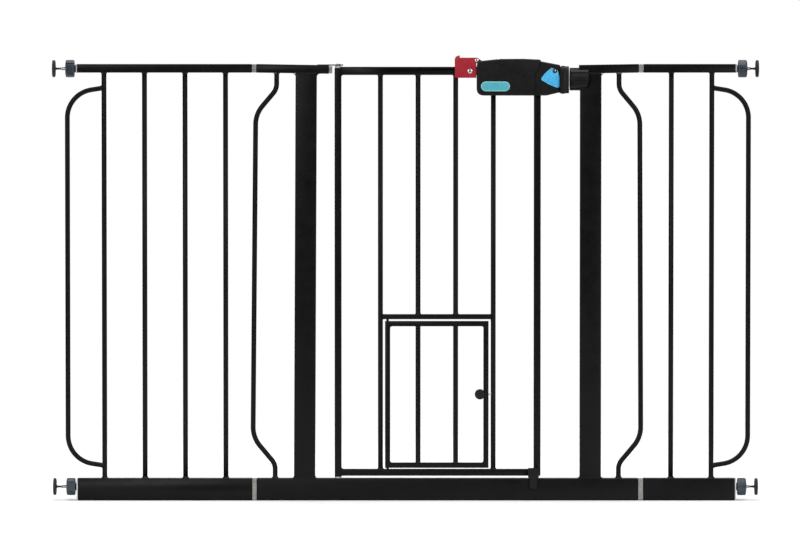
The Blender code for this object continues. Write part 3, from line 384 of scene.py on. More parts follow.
def crowned_plate(edit, corners, levels):
    """A plate across Y from (x, z) or (x, z, radius) corners: levels are (y, inset there)."""
    corners = [(*corner, 0)[:3] for corner in corners]
    if area(corners) < 0:
        corners = corners[::-1]
    rings = []
    for y, inset in levels:
        outline = smooth_outline(shrink(corners, inset), 8)
        rings.append([Vector((x, y, z)) for x, z in outline])
    return loft(edit, rings)


def slab(edit, low, high):
    made = bmesh.ops.create_cube(edit, size=1)["verts"]
    low, high = Vector(low), Vector(high)
    bmesh.ops.scale(edit, verts=made, vec=high - low)
    bmesh.ops.translate(edit, verts=made, vec=(low + high) / 2)
    return edit


def carved(edit, steps):
    """The bmesh after Booleans: steps are (operation, bmesh)."""
    base = solid("base", edit)
    tools = []
    for operation, other in steps:
        helper = solid("tool", other)
        tools.append(helper)
        modifier = base.modifiers.new(operation, "BOOLEAN")
        modifier.object = helper
        modifier.operation = operation
        modifier.solver = "EXACT"
    graph = bpy.context.evaluated_depsgraph_get()
    graph.update()
    result = bmesh.new()
    result.from_object(base, graph)
    for thing in [base, *tools]:
        bpy.data.objects.remove(thing)
    return result


# Steel tubes and bars


def edge_radius(node):
    """A wide tube's rounded corner, or a narrow one's."""
    low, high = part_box(node)
    return 2.2 * MM if min(high - low) > 19 * MM else 1.3 * MM


def soften_cad(node, width, segments):
    """Welds the CAD mesh's split corners and rounds its edges."""
    made = cad[node]
    weld = made.modifiers.new("weld", "WELD")
    weld.merge_threshold = 0.005 * MM
    bevel = made.modifiers.new("edges", "BEVEL")
    bevel.width = width
    bevel.segments = segments
    bevel.limit_method = "ANGLE"
    bevel.angle_limit = math.radians(30)
    bevel.harden_normals = True
    bevel.use_clamp_overlap = True
    made.data.shade_smooth()


def paint_cad():
    slot_of = {s["node"]: s["material_slot"] for s in frame["record"]["subparts"]}
    for name, made in cad.items():
        made.data.materials.clear()
        made.data.materials.append(LOOK[slot_of[name]])


def round_tubes():
    tubes = ["base_rail", "left_upright", "right_upright", "left_arm", "right_arm"]
    tubes += ["door_hinge_post", "door_latch_post", "door_top_rail", "door_bottom_rail"]
    for side in SIDES:
        tubes += [f"{side}_panel_top_tube", f"{side}_panel_rail"]
    for node in tubes:
        soften_cad(node, edge_radius(node), 3)
    plugs = [f"{side}_{level}_end_plug" for side in SIDES for level in LEVELS]
    bars = [f"left_panel_bar_{n}" for n in (1, 2, 3)]
    bars += ["right_panel_bar_1", "door_long_bar_left", "door_long_bar_right"]
    for nodes, width, segments in (
        (["door_upper_grille", "left_arm_plug"], 0.6 * MM, 2),
        (["pet_door_frame"], 0.7 * MM, 2),
        (["bottom_catch"], 0.7 * MM, 3),
        (["handle_bracket"], 0.8 * MM, 3),
        (plugs, 0.5 * MM, 2),
        (bars, 0.2 * MM, 1),
    ):
        for node in nodes:
            soften_cad(node, width, segments)


def bowed_bars():
    """The bars outside the uprights, each with an S bend at its top and foot."""
    radius, tight, bend = 50 * MM, 26 * MM, math.radians(40)
    arcs = (radius + tight) * (1 - math.cos(bend))
    top_slant = (36.4 * MM - arcs) / math.sin(bend)
    foot_slant = (38.8 * MM - arcs) / math.sin(bend)
    bends = 2 * (radius + tight) * math.sin(bend) + (top_slant + foot_slant) * math.cos(bend)
    top, foot = 727.6 * MM, 53.4 * MM
    straight = top - foot - bends
    for side, sign in SIDES.items():
        node = f"{side}_bowed_bar"
        low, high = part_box(node)
        lean = LEAN if sign < 0 else 0
        start_x = low.x + BAR_RADIUS
        if sign < 0:
            start_x = high.x - BAR_RADIUS - lean * (high.z - low.z)
        out = 40 * sign
        splay = sign * math.degrees(math.atan2(2.4 * MM, straight))
        moves = [
            (high.z - top, 0),
            (tight, out),
            (top_slant, 0),
            (radius, splay - out),
            (straight, 0),
            (radius, -out - splay),
            (foot_slant, 0),
            (tight, out),
            (foot - low.z, 0),
        ]
        path = trace((start_x, high.z), -90, moves)
        path = [(x + lean * (z - low.z), z) for x, z in path]
        edit = sweep(bmesh.new(), path, BAR_RADIUS - 0.02 * MM, 28)
        piece(f"{side}_bowed_rod", edit, POWDER, FRAME_BODY, [node])


def hoops():
    """Each panel's last bar with its rounded loop, whose arms fall away from the bar."""
    radius, slope = 49.4 * MM, math.radians(9)
    run = (64 * MM - radius * (1 - math.sin(slope))) / math.cos(slope)
    fall = run * math.sin(slope) + radius * math.cos(slope)
    top, foot = 720.6 * MM, 60.1 * MM
    for side, sign in SIDES.items():
        node = f"{side}_panel_hoop"
        low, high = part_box(node)
        bar_x = low.x + BAR_RADIUS if sign > 0 else high.x - BAR_RADIUS
        moves = [
            (run, 0),
            (radius, -81 * sign),
            (top - foot - 2 * fall, 0),
            (radius, -81 * sign),
            (run, 0),
        ]
        heading = -9 if sign > 0 else 189
        edit = sweep(bmesh.new(), trace((bar_x, top), heading, moves), BAR_RADIUS - 0.05 * MM, 28)
        sweep(edit, [(bar_x, high.z), (bar_x, low.z)], BAR_RADIUS, 28)
        for z, rise in ((top, -1), (foot, 1)):
            along = Vector((sign * math.cos(slope), 0, rise * math.sin(slope)))
            weld_collar(edit, Vector((bar_x, 0, z)) + along * 1.6 * MM, along, 5.6 * MM)
        piece(f"{side}_hoop_rod", edit, POWDER, FRAME_BODY, [node])


def weld_collar(edit, base, axis, reach=3.2 * MM, radius=BAR_RADIUS, flare=1.55 * MM):
    """The small bead round a rod where it meets what it is welded to."""
    ripple = lambda angle: 1 + 0.035 * math.sin(7 * angle + 1) + 0.02 * math.sin(13 * angle)
    profile = []
    for step in range(5):
        t = step / 4
        profile.append((radius + (flare + 0.15 * MM) * (1 - t) ** 2 - 0.15 * MM, reach * t))
    lathe(edit, [(radius * 0.5, 0), *profile, (radius * 0.5, reach)], base, axis, 28, ripple)


def corner_weld(edit, corner, run, rise, half, size):
    """A concave bead in the corner between two tubes: run and rise are the signs of X and Z."""
    x, z = corner
    rings = []
    for i in range(9):
        y = half * (i / 4 - 1)
        grow = size * (1 + 0.07 * math.sin(5 * i + x * 900))
        ring = [Vector((x - run * 0.2 * MM, y, z - rise * 0.2 * MM))]
        ring.append(Vector((x + run * grow, y, z - rise * 0.2 * MM)))
        for step in range(5):
            angle = math.radians(22.5 * step)
            ring.append(
                Vector(
                    (
                        x + run * grow * (1 - math.sin(angle)),
                        y,
                        z + rise * grow * (1 - math.cos(angle)),
                    )
                )
            )
        ring.append(Vector((x - run * 0.2 * MM, y, z + rise * grow)))
        rings.append(ring)
    loft(edit, rings)


def frame_welds():
    """The beads on the fixed frame: round each bar's ends, and at the uprights' feet and heads."""
    edit = bmesh.new()
    bars = [f"left_panel_bar_{n}" for n in (1, 2, 3)] + ["right_panel_bar_1"]
    places = []
    for node in bars:
        low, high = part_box(node)
        places.append(((low.x + high.x) / 2, low.z, high.z))
    for side, sign in SIDES.items():
        low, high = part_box(f"{side}_panel_hoop")
        x = low.x + BAR_RADIUS if sign > 0 else high.x - BAR_RADIUS
        places.append((x, low.z, high.z))
        low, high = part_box(f"{side}_bowed_bar")
        head = high.x - BAR_RADIUS if sign < 0 else low.x + BAR_RADIUS
        foot = head - LEAN * (high.z - low.z) if sign < 0 else head
        weld_collar(edit, (foot, 0, low.z - WELD_OVERLAP), Z_AXIS, 4.4 * MM, flare=2.8 * MM)
        weld_collar(edit, (head, 0, high.z + WELD_OVERLAP), -Z_AXIS)
    for x, foot, top in places:
        weld_collar(edit, (x, 0, foot - WELD_OVERLAP), Z_AXIS, 4.4 * MM, flare=2.8 * MM)
        weld_collar(edit, (x, 0, top + WELD_OVERLAP), -Z_AXIS)
    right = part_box("right_upright")
    width = right[1].x - right[0].x
    for side, sign in SIDES.items():
        low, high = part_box(f"{side}_upright")
        corner_weld(edit, (low.x, low.z), -1, 1, 9.2 * MM, 4 * MM)
        corner_weld(edit, (low.x + width, low.z), 1, 1, 9.2 * MM, 4 * MM)
        corner_weld(edit, (high.x - width, high.z - 0.1 * MM), -1, -1, 6.9 * MM, 5 * MM)
        corner_weld(edit, (high.x, high.z - 0.1 * MM), 1, -1, 6.9 * MM, 5 * MM)
        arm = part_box(f"{side}_arm")
        for face in (-1, 1):
            ends = high.x - width + 0.4 * MM, high.x - 0.4 * MM
            depths = arm[1].y, high.y - 0.6 * MM
            ledge_weld(edit, ends, depths, face, high.z - 0.3 * MM)
            ends = low.x - 1 * MM, low.x + width + 1 * MM
            depths = high.y - 0.1 * MM, 12.4 * MM
            ledge_weld(edit, ends, depths, face, low.z - 0.2 * MM)
    piece("frame_weld_beads", edit, POWDER, FRAME_BODY, smooth=50)


def ledge_weld(edit, ends, depths, face, base):
    """The bead along an upright's face where a narrower or wider tube crosses its end."""
    near, far = depths
    rings = []
    for i in range(13):
        t = i / 12
        x = ends[0] + (ends[1] - ends[0]) * t
        grow = 1 + 0.06 * math.sin(11 * i)
        ring = [Vector((x, face * (near - 0.3 * MM), base - 1 * MM))]
        ring.append(Vector((x, face * far, base - 1 * MM)))
        for step in range(5):
            angle = math.radians(22.5 * step)
            y = near + (far - near) * (1 - math.sin(angle)) * grow
            z = base + 0.4 * MM + 2.6 * MM * (1 - math.cos(angle)) * grow
            ring.append(Vector((x, face * min(y, far), z)))
        ring.append(Vector((x, face * (near - 0.3 * MM), base + 3 * MM)))
        rings.append(ring)
    loft(edit, rings)


def door_welds():
    edit = bmesh.new()
    for node in ("door_long_bar_left", "door_long_bar_right"):
        low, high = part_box(node)
        x = (low.x + high.x) / 2
        weld_collar(edit, (x, 0, low.z - WELD_OVERLAP), Z_AXIS)
        weld_collar(edit, (x, 0, high.z + WELD_OVERLAP), -Z_AXIS)
    low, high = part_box("door_upper_grille")
    for x in SHORT_BARS:
        weld_collar(edit, (x, 0, high.z + WELD_OVERLAP), -Z_AXIS)
        weld_collar(edit, (x, 0, low.z + 8.5 * MM), Z_AXIS)
    middle = low.z + BAND
    weld_collar(edit, (low.x - 1.6 * MM, 0, middle), X_AXIS, 4.4 * MM)
    weld_collar(edit, (high.x + 1.6 * MM, 0, middle), -X_AXIS, 4.4 * MM)
    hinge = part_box("door_hinge_post")[1].x
    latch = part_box("door_latch_post")[0].x
    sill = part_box("door_bottom_rail")[1].z
    rail_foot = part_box("door_top_rail")[0].z
    corner_weld(edit, (hinge, sill), 1, 1, 5.4 * MM, 3.2 * MM)
    corner_weld(edit, (hinge, rail_foot), 1, -1, 5.4 * MM, 3.2 * MM)
    corner_weld(edit, (latch, sill), -1, 1, 5.4 * MM, 3.2 * MM)
    corner_weld(edit, (latch, rail_foot), -1, -1, 5.4 * MM, 3.2 * MM)
    for node in ("door_top_rail", "door_bottom_rail"):
        low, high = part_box(node)
        for x in (low.x, high.x):
            butt_weld(edit, x, low, high)
    piece("door_weld_beads", edit, POWDER, "door", smooth=50)


def butt_weld(edit, x, low, high):
    """The bead round a rail's end, where it butts against a post."""
    centre = (low + high) / 2
    rings = []
    for offset, grow in ((-1.2, -0.2), (-0.7, 0.35), (0, 0.5), (0.7, 0.35), (1.2, -0.2)):
        half_y = (high.y - low.y) / 2 + grow * MM
        half_z = (high.z - low.z) / 2 + grow * MM
        corners = [(-half_y, -half_z), (half_y, -half_z), (half_y, half_z), (-half_y, half_z)]
        outline = smooth_outline([(y, z, 2.4 * MM) for y, z in corners], 5)
        rings.append([Vector((x + offset * MM, y, centre.z + z)) for y, z in outline])
    loft(edit, rings)


def pet_door_welds():
    edit = bmesh.new()
    left, right = -26.8 * MM, 136.2 * MM
    foot, top = 65.3 * MM, 304.2 * MM
    for x, run in ((left, 1), (right, -1)):
        for z, rise in ((foot, 1), (top, -1)):
            corner_weld(edit, (x, z), run, rise, 4.1 * MM, 3.4 * MM)
    for x in SHORT_BARS:
        weld_collar(edit, (x, 0, foot - WELD_OVERLAP), Z_AXIS, 2.4 * MM, 4.1 * MM)
        weld_collar(edit, (x, 0, top + WELD_OVERLAP), -Z_AXIS, 2.4 * MM, 4.1 * MM)
    piece("pet_door_weld_beads", edit, POWDER, "pet_door", smooth=50)


# Wall spindles, nuts, pads and couplers


def threaded_rods():
    """A rod with a real helical thread for each spindle."""
    pitch, crest, root = 2 * MM, 3.1 * MM, 2.55 * MM
    sides, rows = 20, 4
    levels = (root, root, crest, crest)
    for side, sign in SIDES.items():
        for level in LEVELS:
            name = f"{side}_{level}"
            low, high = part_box(f"{name}_spindle")
            z = (low.z + high.z) / 2
            start, end = sorted((abs(low.x), abs(high.x)))
            edit = bmesh.new()
            turns = int((end - start - 2 * MM) / pitch)
            rings = []
            for turn in range(turns * rows + 1):
                ring = []
                for i in range(sides):
                    share = i / sides
                    angle = 2 * math.pi * share
                    row = (turn - share * rows) % rows
                    lower = levels[int(row) % rows]
                    upper = levels[(int(row) + 1) % rows]
                    radius = lower + (upper - lower) * (row % 1)
                    x = sign * (start + 1 * MM + turn * pitch / rows)
                    ring.append(
                        Vector((x, radius * math.cos(angle), z + radius * math.sin(angle)))
                    )
                rings.append(ring)
            tip = [Vector((sign * start, 0.75 * p.y, z + 0.75 * (p.z - z))) for p in rings[0]]
            tail = [Vector((sign * end, 0.8 * p.y, z + 0.8 * (p.z - z))) for p in rings[-1]]
            loft(edit, [tip, *rings, tail])
            body = f"{name}_spindle_body"
            piece(f"{name}_threaded_rod", edit, ZINC, body, [f"{name}_spindle"], 40)


def wall_pads():
    """A rubber disc with a ringed face and a thin tapering stem."""
    for side, sign in SIDES.items():
        for level in LEVELS:
            name = f"{side}_{level}"
            low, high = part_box(f"{name}_pad")
            z = (low.z + high.z) / 2
            face = max(abs(low.x), abs(high.x))
            profile = [(0, face - 0.6 * MM)]
            for ring in range(1, 5):
                radius = 2.8 * MM * ring
                profile += [
                    (radius - 0.9 * MM, face - 0.6 * MM),
                    (radius - 0.6 * MM, face),
                    (radius + 0.5 * MM, face),
                    (radius + 0.8 * MM, face - 0.6 * MM),
                ]
            profile += [
                (12.9 * MM, face - 0.6 * MM),
                (13.1 * MM, face),
                (14.1 * MM, face - 0.1 * MM),
                (14.7 * MM, face - 0.7 * MM),
                (14.8 * MM, face - 1.6 * MM),
                (14.8 * MM, face - 3.6 * MM),
                (14.5 * MM, face - 4.5 * MM),
                (13.6 * MM, face - 5 * MM),
                (4.4 * MM, face - 5 * MM),
                (2.8 * MM, face - 5.5 * MM),
                (2.0 * MM, face - 7.0 * MM),
                (1.7 * MM, face - 10.5 * MM),
                (1.7 * MM, face - 13.6 * MM),
                (1.4 * MM, face - 13.7 * MM),
                (0, face - 13.7 * MM),
            ]
            edit = lathe(bmesh.new(), profile, (0, 0, z), (sign, 0, 0), 48)
            body = f"{name}_spindle_body"
            piece(f"{name}_wall_pad", edit, RUBBER, body, [f"{name}_pad"], 40)


def grip(turn):
    """The hand nut's section: five broad lobes parted by valleys, turned by a share of a lobe."""

    def shape(angle):
        phase = (5 * angle / (2 * math.pi) + turn) % 1
        edge = min(phase, 1 - phase)
        valley = max(0.0, 1 - edge / 0.09)
        return 1 - 0.11 * valley - 0.02 * math.cos(math.pi * (phase - 0.5)) ** 8

    return shape


def hand_nuts():
    """The lobed hand nuts, with fine rings round their grip."""
    for side, sign in SIDES.items():
        for level in LEVELS:
            name = f"{side}_{level}"
            low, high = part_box(f"{name}_nut")
            z = (low.z + high.z) / 2
            hub, end = sorted((abs(low.x), abs(high.x)))
            start = hub + 2.3 * MM
            section = grip(0 if side == "left" else 0.5)
            outer = (high.z - low.z) / 2
            profile = [
                (outer - 2.2 * MM, start),
                (outer - 1.0 * MM, start + 0.2 * MM),
                (outer - 0.3 * MM, start + 0.9 * MM),
            ]
            count = 5
            width = (end - start - 4.4 * MM) / count
            for ring in range(count):
                x = start + 1.6 * MM + ring * width
                profile += [
                    (outer, x),
                    (outer, x + width * 0.62),
                    (outer - 0.45 * MM, x + width * 0.72),
                    (outer - 0.45 * MM, x + width * 0.9),
                ]
            profile += [
                (outer, end - 2.6 * MM),
                (outer - 0.5 * MM, end - 1.2 * MM),
                (outer - 1.7 * MM, end - 0.3 * MM),
                (outer - 3 * MM, end),
            ]
            rings = []
            for radius, x in profile:
                centre = Vector((sign * x, 0, z))
                rings.append(circle(centre, radius, Y_AXIS, Z_AXIS, NUT_SIDES, section))
            for radius, x in (
                (8 * MM, end - 0.2 * MM),
                (7.2 * MM, end - 1.8 * MM),
                (3.5 * MM, end - 1.8 * MM),
                (3.45 * MM, hub + 0.2 * MM),
                (3.9 * MM, hub),
                (6.2 * MM, hub),
                (6.5 * MM, hub + 0.3 * MM),
                (6.5 * MM, start - 0.6 * MM),
                (7.4 * MM, start),
            ):
                centre = Vector((sign * x, 0, z))
                rings.append(circle(centre, radius, Y_AXIS, Z_AXIS, NUT_SIDES))
            edit = loft(bmesh.new(), rings, looped=True)
            body = f"{name}_nut_body"
            piece(f"{name}_hand_nut", edit, SLATE, body, [f"{name}_nut"], 35)


def couplers():
    """The nylon collars between the tubes, each with a raised band round its middle."""
    for side in SIDES:
        for level in LEVELS:
            node = f"{side}_{level}_coupler"
            low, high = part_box(node)
            left, right = low.x + SPIGOT, high.x - SPIGOT
            middle = (left + right) / 2
            depth, height = (high.y - low.y) / 2, (high.z - low.z) / 2
            centre = (low.z + high.z) / 2
            edit = bmesh.new()
            rings = []
            for x, inset in (
                (low.x, 2.2),
                (low.x + 1 * MM, 1.9),
                (left, 1.9),
                (left, 0.9),
                (left + 0.5 * MM, 0.45),
                (middle - 1.3 * MM, 0.4),
                (middle - 0.9 * MM, 0.0),
                (middle + 0.9 * MM, 0.0),
                (middle + 1.3 * MM, 0.4),
                (right - 0.5 * MM, 0.45),
                (right, 0.9),
                (right, 1.9),
                (high.x - 1 * MM, 1.9),
                (high.x, 2.2),
            ):
                half_y = depth - inset * MM
                half_z = height - inset * MM
                corner = 1.6 * MM
                corners = [
                    (-half_y, -half_z, corner),
                    (half_y, -half_z, corner),
                    (half_y, half_z, corner),
                    (-half_y, half_z, corner),
                ]
                ring = smooth_outline(corners, 4)
                rings.append([Vector((x, y, centre + z)) for y, z in ring])
            loft(edit, rings)
            piece(f"{node}_collar", edit, NYLON, FRAME_BODY, [node])


# Lever handle


def handle_corners():
    """The lever's side view, anticlockwise, as (x, z, radius) corners."""
    corners = [
        (124.3, 706.9, 13),
        (246, 706.9, 16),
        (269.7, 712.6, 3),
        (269.7, 760.2, 3),
        (238, 766.3, 12),
        (232, 768.3, 4),
        (162.6, 768.4, 0.6),
        (161, 770.5, 1.4),
        (126.2, 766.8, 5),
        (124.3, 757.5, 6),
    ]
    return [(x * MM, z * MM, r * MM) for x, z, r in corners]


def shell_levels(sign):
    """(y, inset) from the face to the seam: a soft edge round the face, and a fine seam line."""
    half = SHELL_HALF
    levels = [
        (half, 3.4 * MM),
        (half - 0.12 * MM, 2.5 * MM),
        (half - 0.5 * MM, 1.5 * MM),
        (half - 1.2 * MM, 0.65 * MM),
        (half - 2.3 * MM, 0.15 * MM),
        (half - 3.6 * MM, 0.0),
        (SEAM + 0.7 * MM, 0.0),
        (SEAM, 0.45 * MM),
    ]
    return [(sign * y, inset) for y, inset in levels]


def handle_tools(sign):
    """The Booleans that open the shell below and clear the rail, bolt, pin and slide."""
    hollow = shrink(handle_corners(), SHELL_WALL)
    deep = [(x, z - 30 * MM if z < 716 * MM else z, r) for x, z, r in hollow]
    inner = SHELL_HALF - SHELL_WALL
    low = (119 * MM, -8.6 * MM, 640 * MM)
    high = (127.8 * MM, 8.6 * MM, 759.6 * MM)
    half = 9.4 * MM
    neck = [
        (PIVOT.x - 2.4 * MM, PIVOT.z - 3.4 * MM),
        (129 * MM, PIVOT.z - 8 * MM),
        (141 * MM, PIVOT.z - 6.1 * MM),
        (141 * MM, PIVOT.z - 2.2 * MM),
        (133 * MM, PIVOT.z - 1 * MM),
        (PIVOT.x + 1.6 * MM, PIVOT.z + 3.8 * MM),
    ]
    lug = [(4.2 * MM, -half), (4.2 * MM, half)]
    bolt = [(BOLT_HOLE, 255 * MM), (BOLT_HOLE, 290 * MM)]
    bore = [(2.3 * MM, -30 * MM), (2.3 * MM, 30 * MM)]
    boss = [(3.6 * MM, -SHELL_HALF + 1 * MM), (3.6 * MM, SHELL_HALF - 1 * MM)]
    slot_low = (185.3 * MM, -13.2 * MM, 760 * MM)
    slot_high = (206.7 * MM, -9 * MM, 775 * MM)
    seam_low = (226.1 * MM, -18 * MM, 704 * MM)
    seam_high = (227.1 * MM, -16.2 * MM, 742 * MM)
    other = [(-sign * 60 * MM, 0.0), (sign * SEAM, 0.0)]
    wide = [(60 * MM, 640 * MM), (340 * MM, 640 * MM), (340 * MM, 830 * MM), (60 * MM, 830 * MM)]
    return [
        ("DIFFERENCE", crowned_plate(bmesh.new(), deep, [(-inner, 0.0), (inner, 0.0)])),
        ("UNION", lathe(bmesh.new(), lug, PIVOT, Y_AXIS, 32)),
        ("UNION", crowned_plate(bmesh.new(), neck, [(-half, 0.0), (half, 0.0)])),
        ("UNION", lathe(bmesh.new(), boss, SCREW, Y_AXIS, 24)),
        ("DIFFERENCE", slab(bmesh.new(), low, high)),
        ("DIFFERENCE", lathe(bmesh.new(), bore, PIVOT, Y_AXIS, 24)),
        ("DIFFERENCE", lathe(bmesh.new(), bolt, (0, 0, BOLT_Z), X_AXIS, 24)),
        ("DIFFERENCE", slab(bmesh.new(), slot_low, slot_high)),
        ("DIFFERENCE", screw_recess(sign)),
        ("DIFFERENCE", crowned_plate(bmesh.new(), wide, other)),
        ("DIFFERENCE", slab(bmesh.new(), seam_low, seam_high)),
    ]


def screw_recess(sign):
    """The well round the screw's head, and its hole."""
    profile = [
        (1.8 * MM, -13 * MM),
        (1.8 * MM, SHELL_HALF - 0.9 * MM),
        (3.5 * MM, SHELL_HALF - 0.9 * MM),
        (3.8 * MM, SHELL_HALF + 2 * MM),
    ]
    if sign > 0:
        profile = [(1.8 * MM, -20 * MM), (1.8 * MM, 13 * MM)]
    return lathe(bmesh.new(), profile, SCREW, -Y_AXIS, 28)


def handle_shells():
    for name, sign in (("front", -1), ("rear", 1)):
        edit = crowned_plate(bmesh.new(), handle_corners(), shell_levels(sign))
        made = carved(edit, handle_tools(sign))
        node = f"handle_{name}_shell"
        piece(f"handle_{name}_cover", made, BLACK, "handle", [node], 28)


def collar():
    """The flared hood on the lever's end that covers the bolt and laps the receiver."""

    def arch(x, grow, inset, drop=0.0):
        half = 24.4 * MM + grow - inset
        top = 758.9 * MM + grow - inset
        foot = 710.1 * MM - grow - drop
        round_top = max(13 * MM - inset, 4 * MM)
        corners = [
            (-half, foot, 1.5 * MM),
            (half, foot, 1.5 * MM),
            (half, top, round_top),
            (-half, top, round_top),
        ]
        return [Vector((x, y, z)) for y, z in smooth_outline(corners, 8)]

    left, right = 267.9 * MM, 284.6 * MM
    outside = [
        (left, -4.2),
        (left + 0.9 * MM, -2.3),
        (left + 2.2 * MM, -1.2),
        (left + 3.6 * MM, -1.0),
        (left + 4.4 * MM, -0.2),
        (left + 5.6 * MM, 0.0),
        (left + 8.4 * MM, 0.0),
        (left + 9.6 * MM, -0.5),
        (left + 11.5 * MM, -0.9),
        (right - 0.8 * MM, -0.9),
        (right - 0.2 * MM, -1.0),
        (right, -1.4),
    ]
    edit = loft(bmesh.new(), [arch(x, grow * MM, 0.0) for x, grow in outside])
    hollow = loft(
        bmesh.new(),
        [arch(270.6 * MM, 0.0, 2.6 * MM, 40 * MM), arch(300 * MM, 0.0, 2.6 * MM, 40 * MM)],
    )
    bolt = [(BOLT_HOLE, 250 * MM), (BOLT_HOLE, 290 * MM)]
    hole = lathe(bmesh.new(), bolt, (0, 0, BOLT_Z), X_AXIS, 24)
    made = carved(edit, [("DIFFERENCE", hollow), ("DIFFERENCE", hole)])
    piece("handle_collar", made, BLACK, "handle", (), 28)


def thumb_slide():
    """The saddle on top of the lever, with a skirt down its front and back."""
    corners = [
        (162.4, 762.4, 1.5),
        (187, 751.7, 60),
        (211, 740.6, 6),
        (223, 742.4, 9),
        (230.5, 750.5, 12),
        (234.5, 762, 6),
        (236, 769.6, 3),
        (205, 771.0, 40),
        (162.4, 770.7, 2),
    ]
    outline = [(x * MM, z * MM, r * MM) for x, z, r in corners]
    out = 19.6 * MM
    half = [(out, 2.0), (out - 0.3 * MM, 1.1), (out - 1.0 * MM, 0.35), (out - 2.0 * MM, 0.0)]
    levels = [(-y, inset * MM) for y, inset in half]
    levels += [(y, inset * MM) for y, inset in reversed(half)]
    edit = crowned_plate(bmesh.new(), outline, levels)
    under = slab(bmesh.new(), (150 * MM, -17.3 * MM, 700 * MM), (250 * MM, 17.3 * MM, 768.8 * MM))
    stem = slab(bmesh.new(), (186 * MM, -12.6 * MM, 752 * MM), (196 * MM, -9.6 * MM, 770 * MM))
    steps = [("DIFFERENCE", under), ("UNION", stem)]
    for i in range(6):
        x = (196 + 4.2 * i) * MM
        groove = slab(bmesh.new(), (x, -12 * MM, 770.7 * MM), (x + 1.5 * MM, 12 * MM, 776 * MM))
        steps.append(("DIFFERENCE", groove))
    made = carved(edit, steps)
    piece("thumb_saddle", made, BLACK, "lock_slide_body", ["thumb_slide"], 30)


def pill(x_low, x_high, z_low, z_high):
    radius = (z_high - z_low) / 2
    outline = []
    for centre_x, start in ((x_high - radius, -90), (x_low + radius, 90)):
        for step in range(13):
            angle = math.radians(start + 15 * step)
            outline.append(
                (centre_x + radius * math.cos(angle), z_low + radius + radius * math.sin(angle))
            )
    return outline


def triangle(grow):
    corners = [
        (234.4 - grow * 1.5, 735.2, 4),
        (250.9, 725.6 - grow * 0.6, 60),
        (267.9 + grow * 0.9, 718.6 - grow, 5),
        (269.3 + grow * 0.4, 736, 50),
        (264.4 + grow * 0.9, 753.0 + grow * 0.6, 5),
        (253.5 - grow * 0.3, 755.4 + grow * 0.9, 5),
        (242.5 - grow * 0.5, 746.2 + grow * 0.8, 60),
    ]
    return [(x * MM, z * MM, r * MM) for x, z, r in corners]


def film(name, outline, material, thickness):
    """A label on the lever's front face, with a soft edge."""
    levels = [
        (-SHELL_HALF + 0.3 * MM, 0.0),
        (-SHELL_HALF - thickness * 0.6, 0.0),
        (-SHELL_HALF - thickness, 0.25 * MM),
    ]
    edit = crowned_plate(bmesh.new(), outline, levels)
    piece(name, edit, material, "handle", (), 30)


def labels():
    film("pill_label_edge", pill(131.6 * MM, 181.6 * MM, 714.6 * MM, 731.4 * MM), PALE, 0.25 * MM)
    film("pill_label", pill(132.6 * MM, 180.6 * MM, 715.6 * MM, 730.4 * MM), CYAN, 0.4 * MM)
    film("triangle_label_rim", triangle(1.3), BLACK, 0.5 * MM)
    hole = [(4.1 * MM, SHELL_HALF - 1 * MM), (4.1 * MM, SHELL_HALF + 3 * MM)]
    levels = [
        (-SHELL_HALF + 0.3 * MM, 0.0),
        (-SHELL_HALF - 0.6 * MM, 0.0),
        (-SHELL_HALF - 0.8 * MM, 0.3 * MM),
    ]
    edit = crowned_plate(bmesh.new(), triangle(-0.3), levels)
    cutter = lathe(bmesh.new(), hole, SCREW, -Y_AXIS, 28)
    made = carved(edit, [("DIFFERENCE", cutter)])
    piece("triangle_label", made, BLUE, "handle", (), 30)


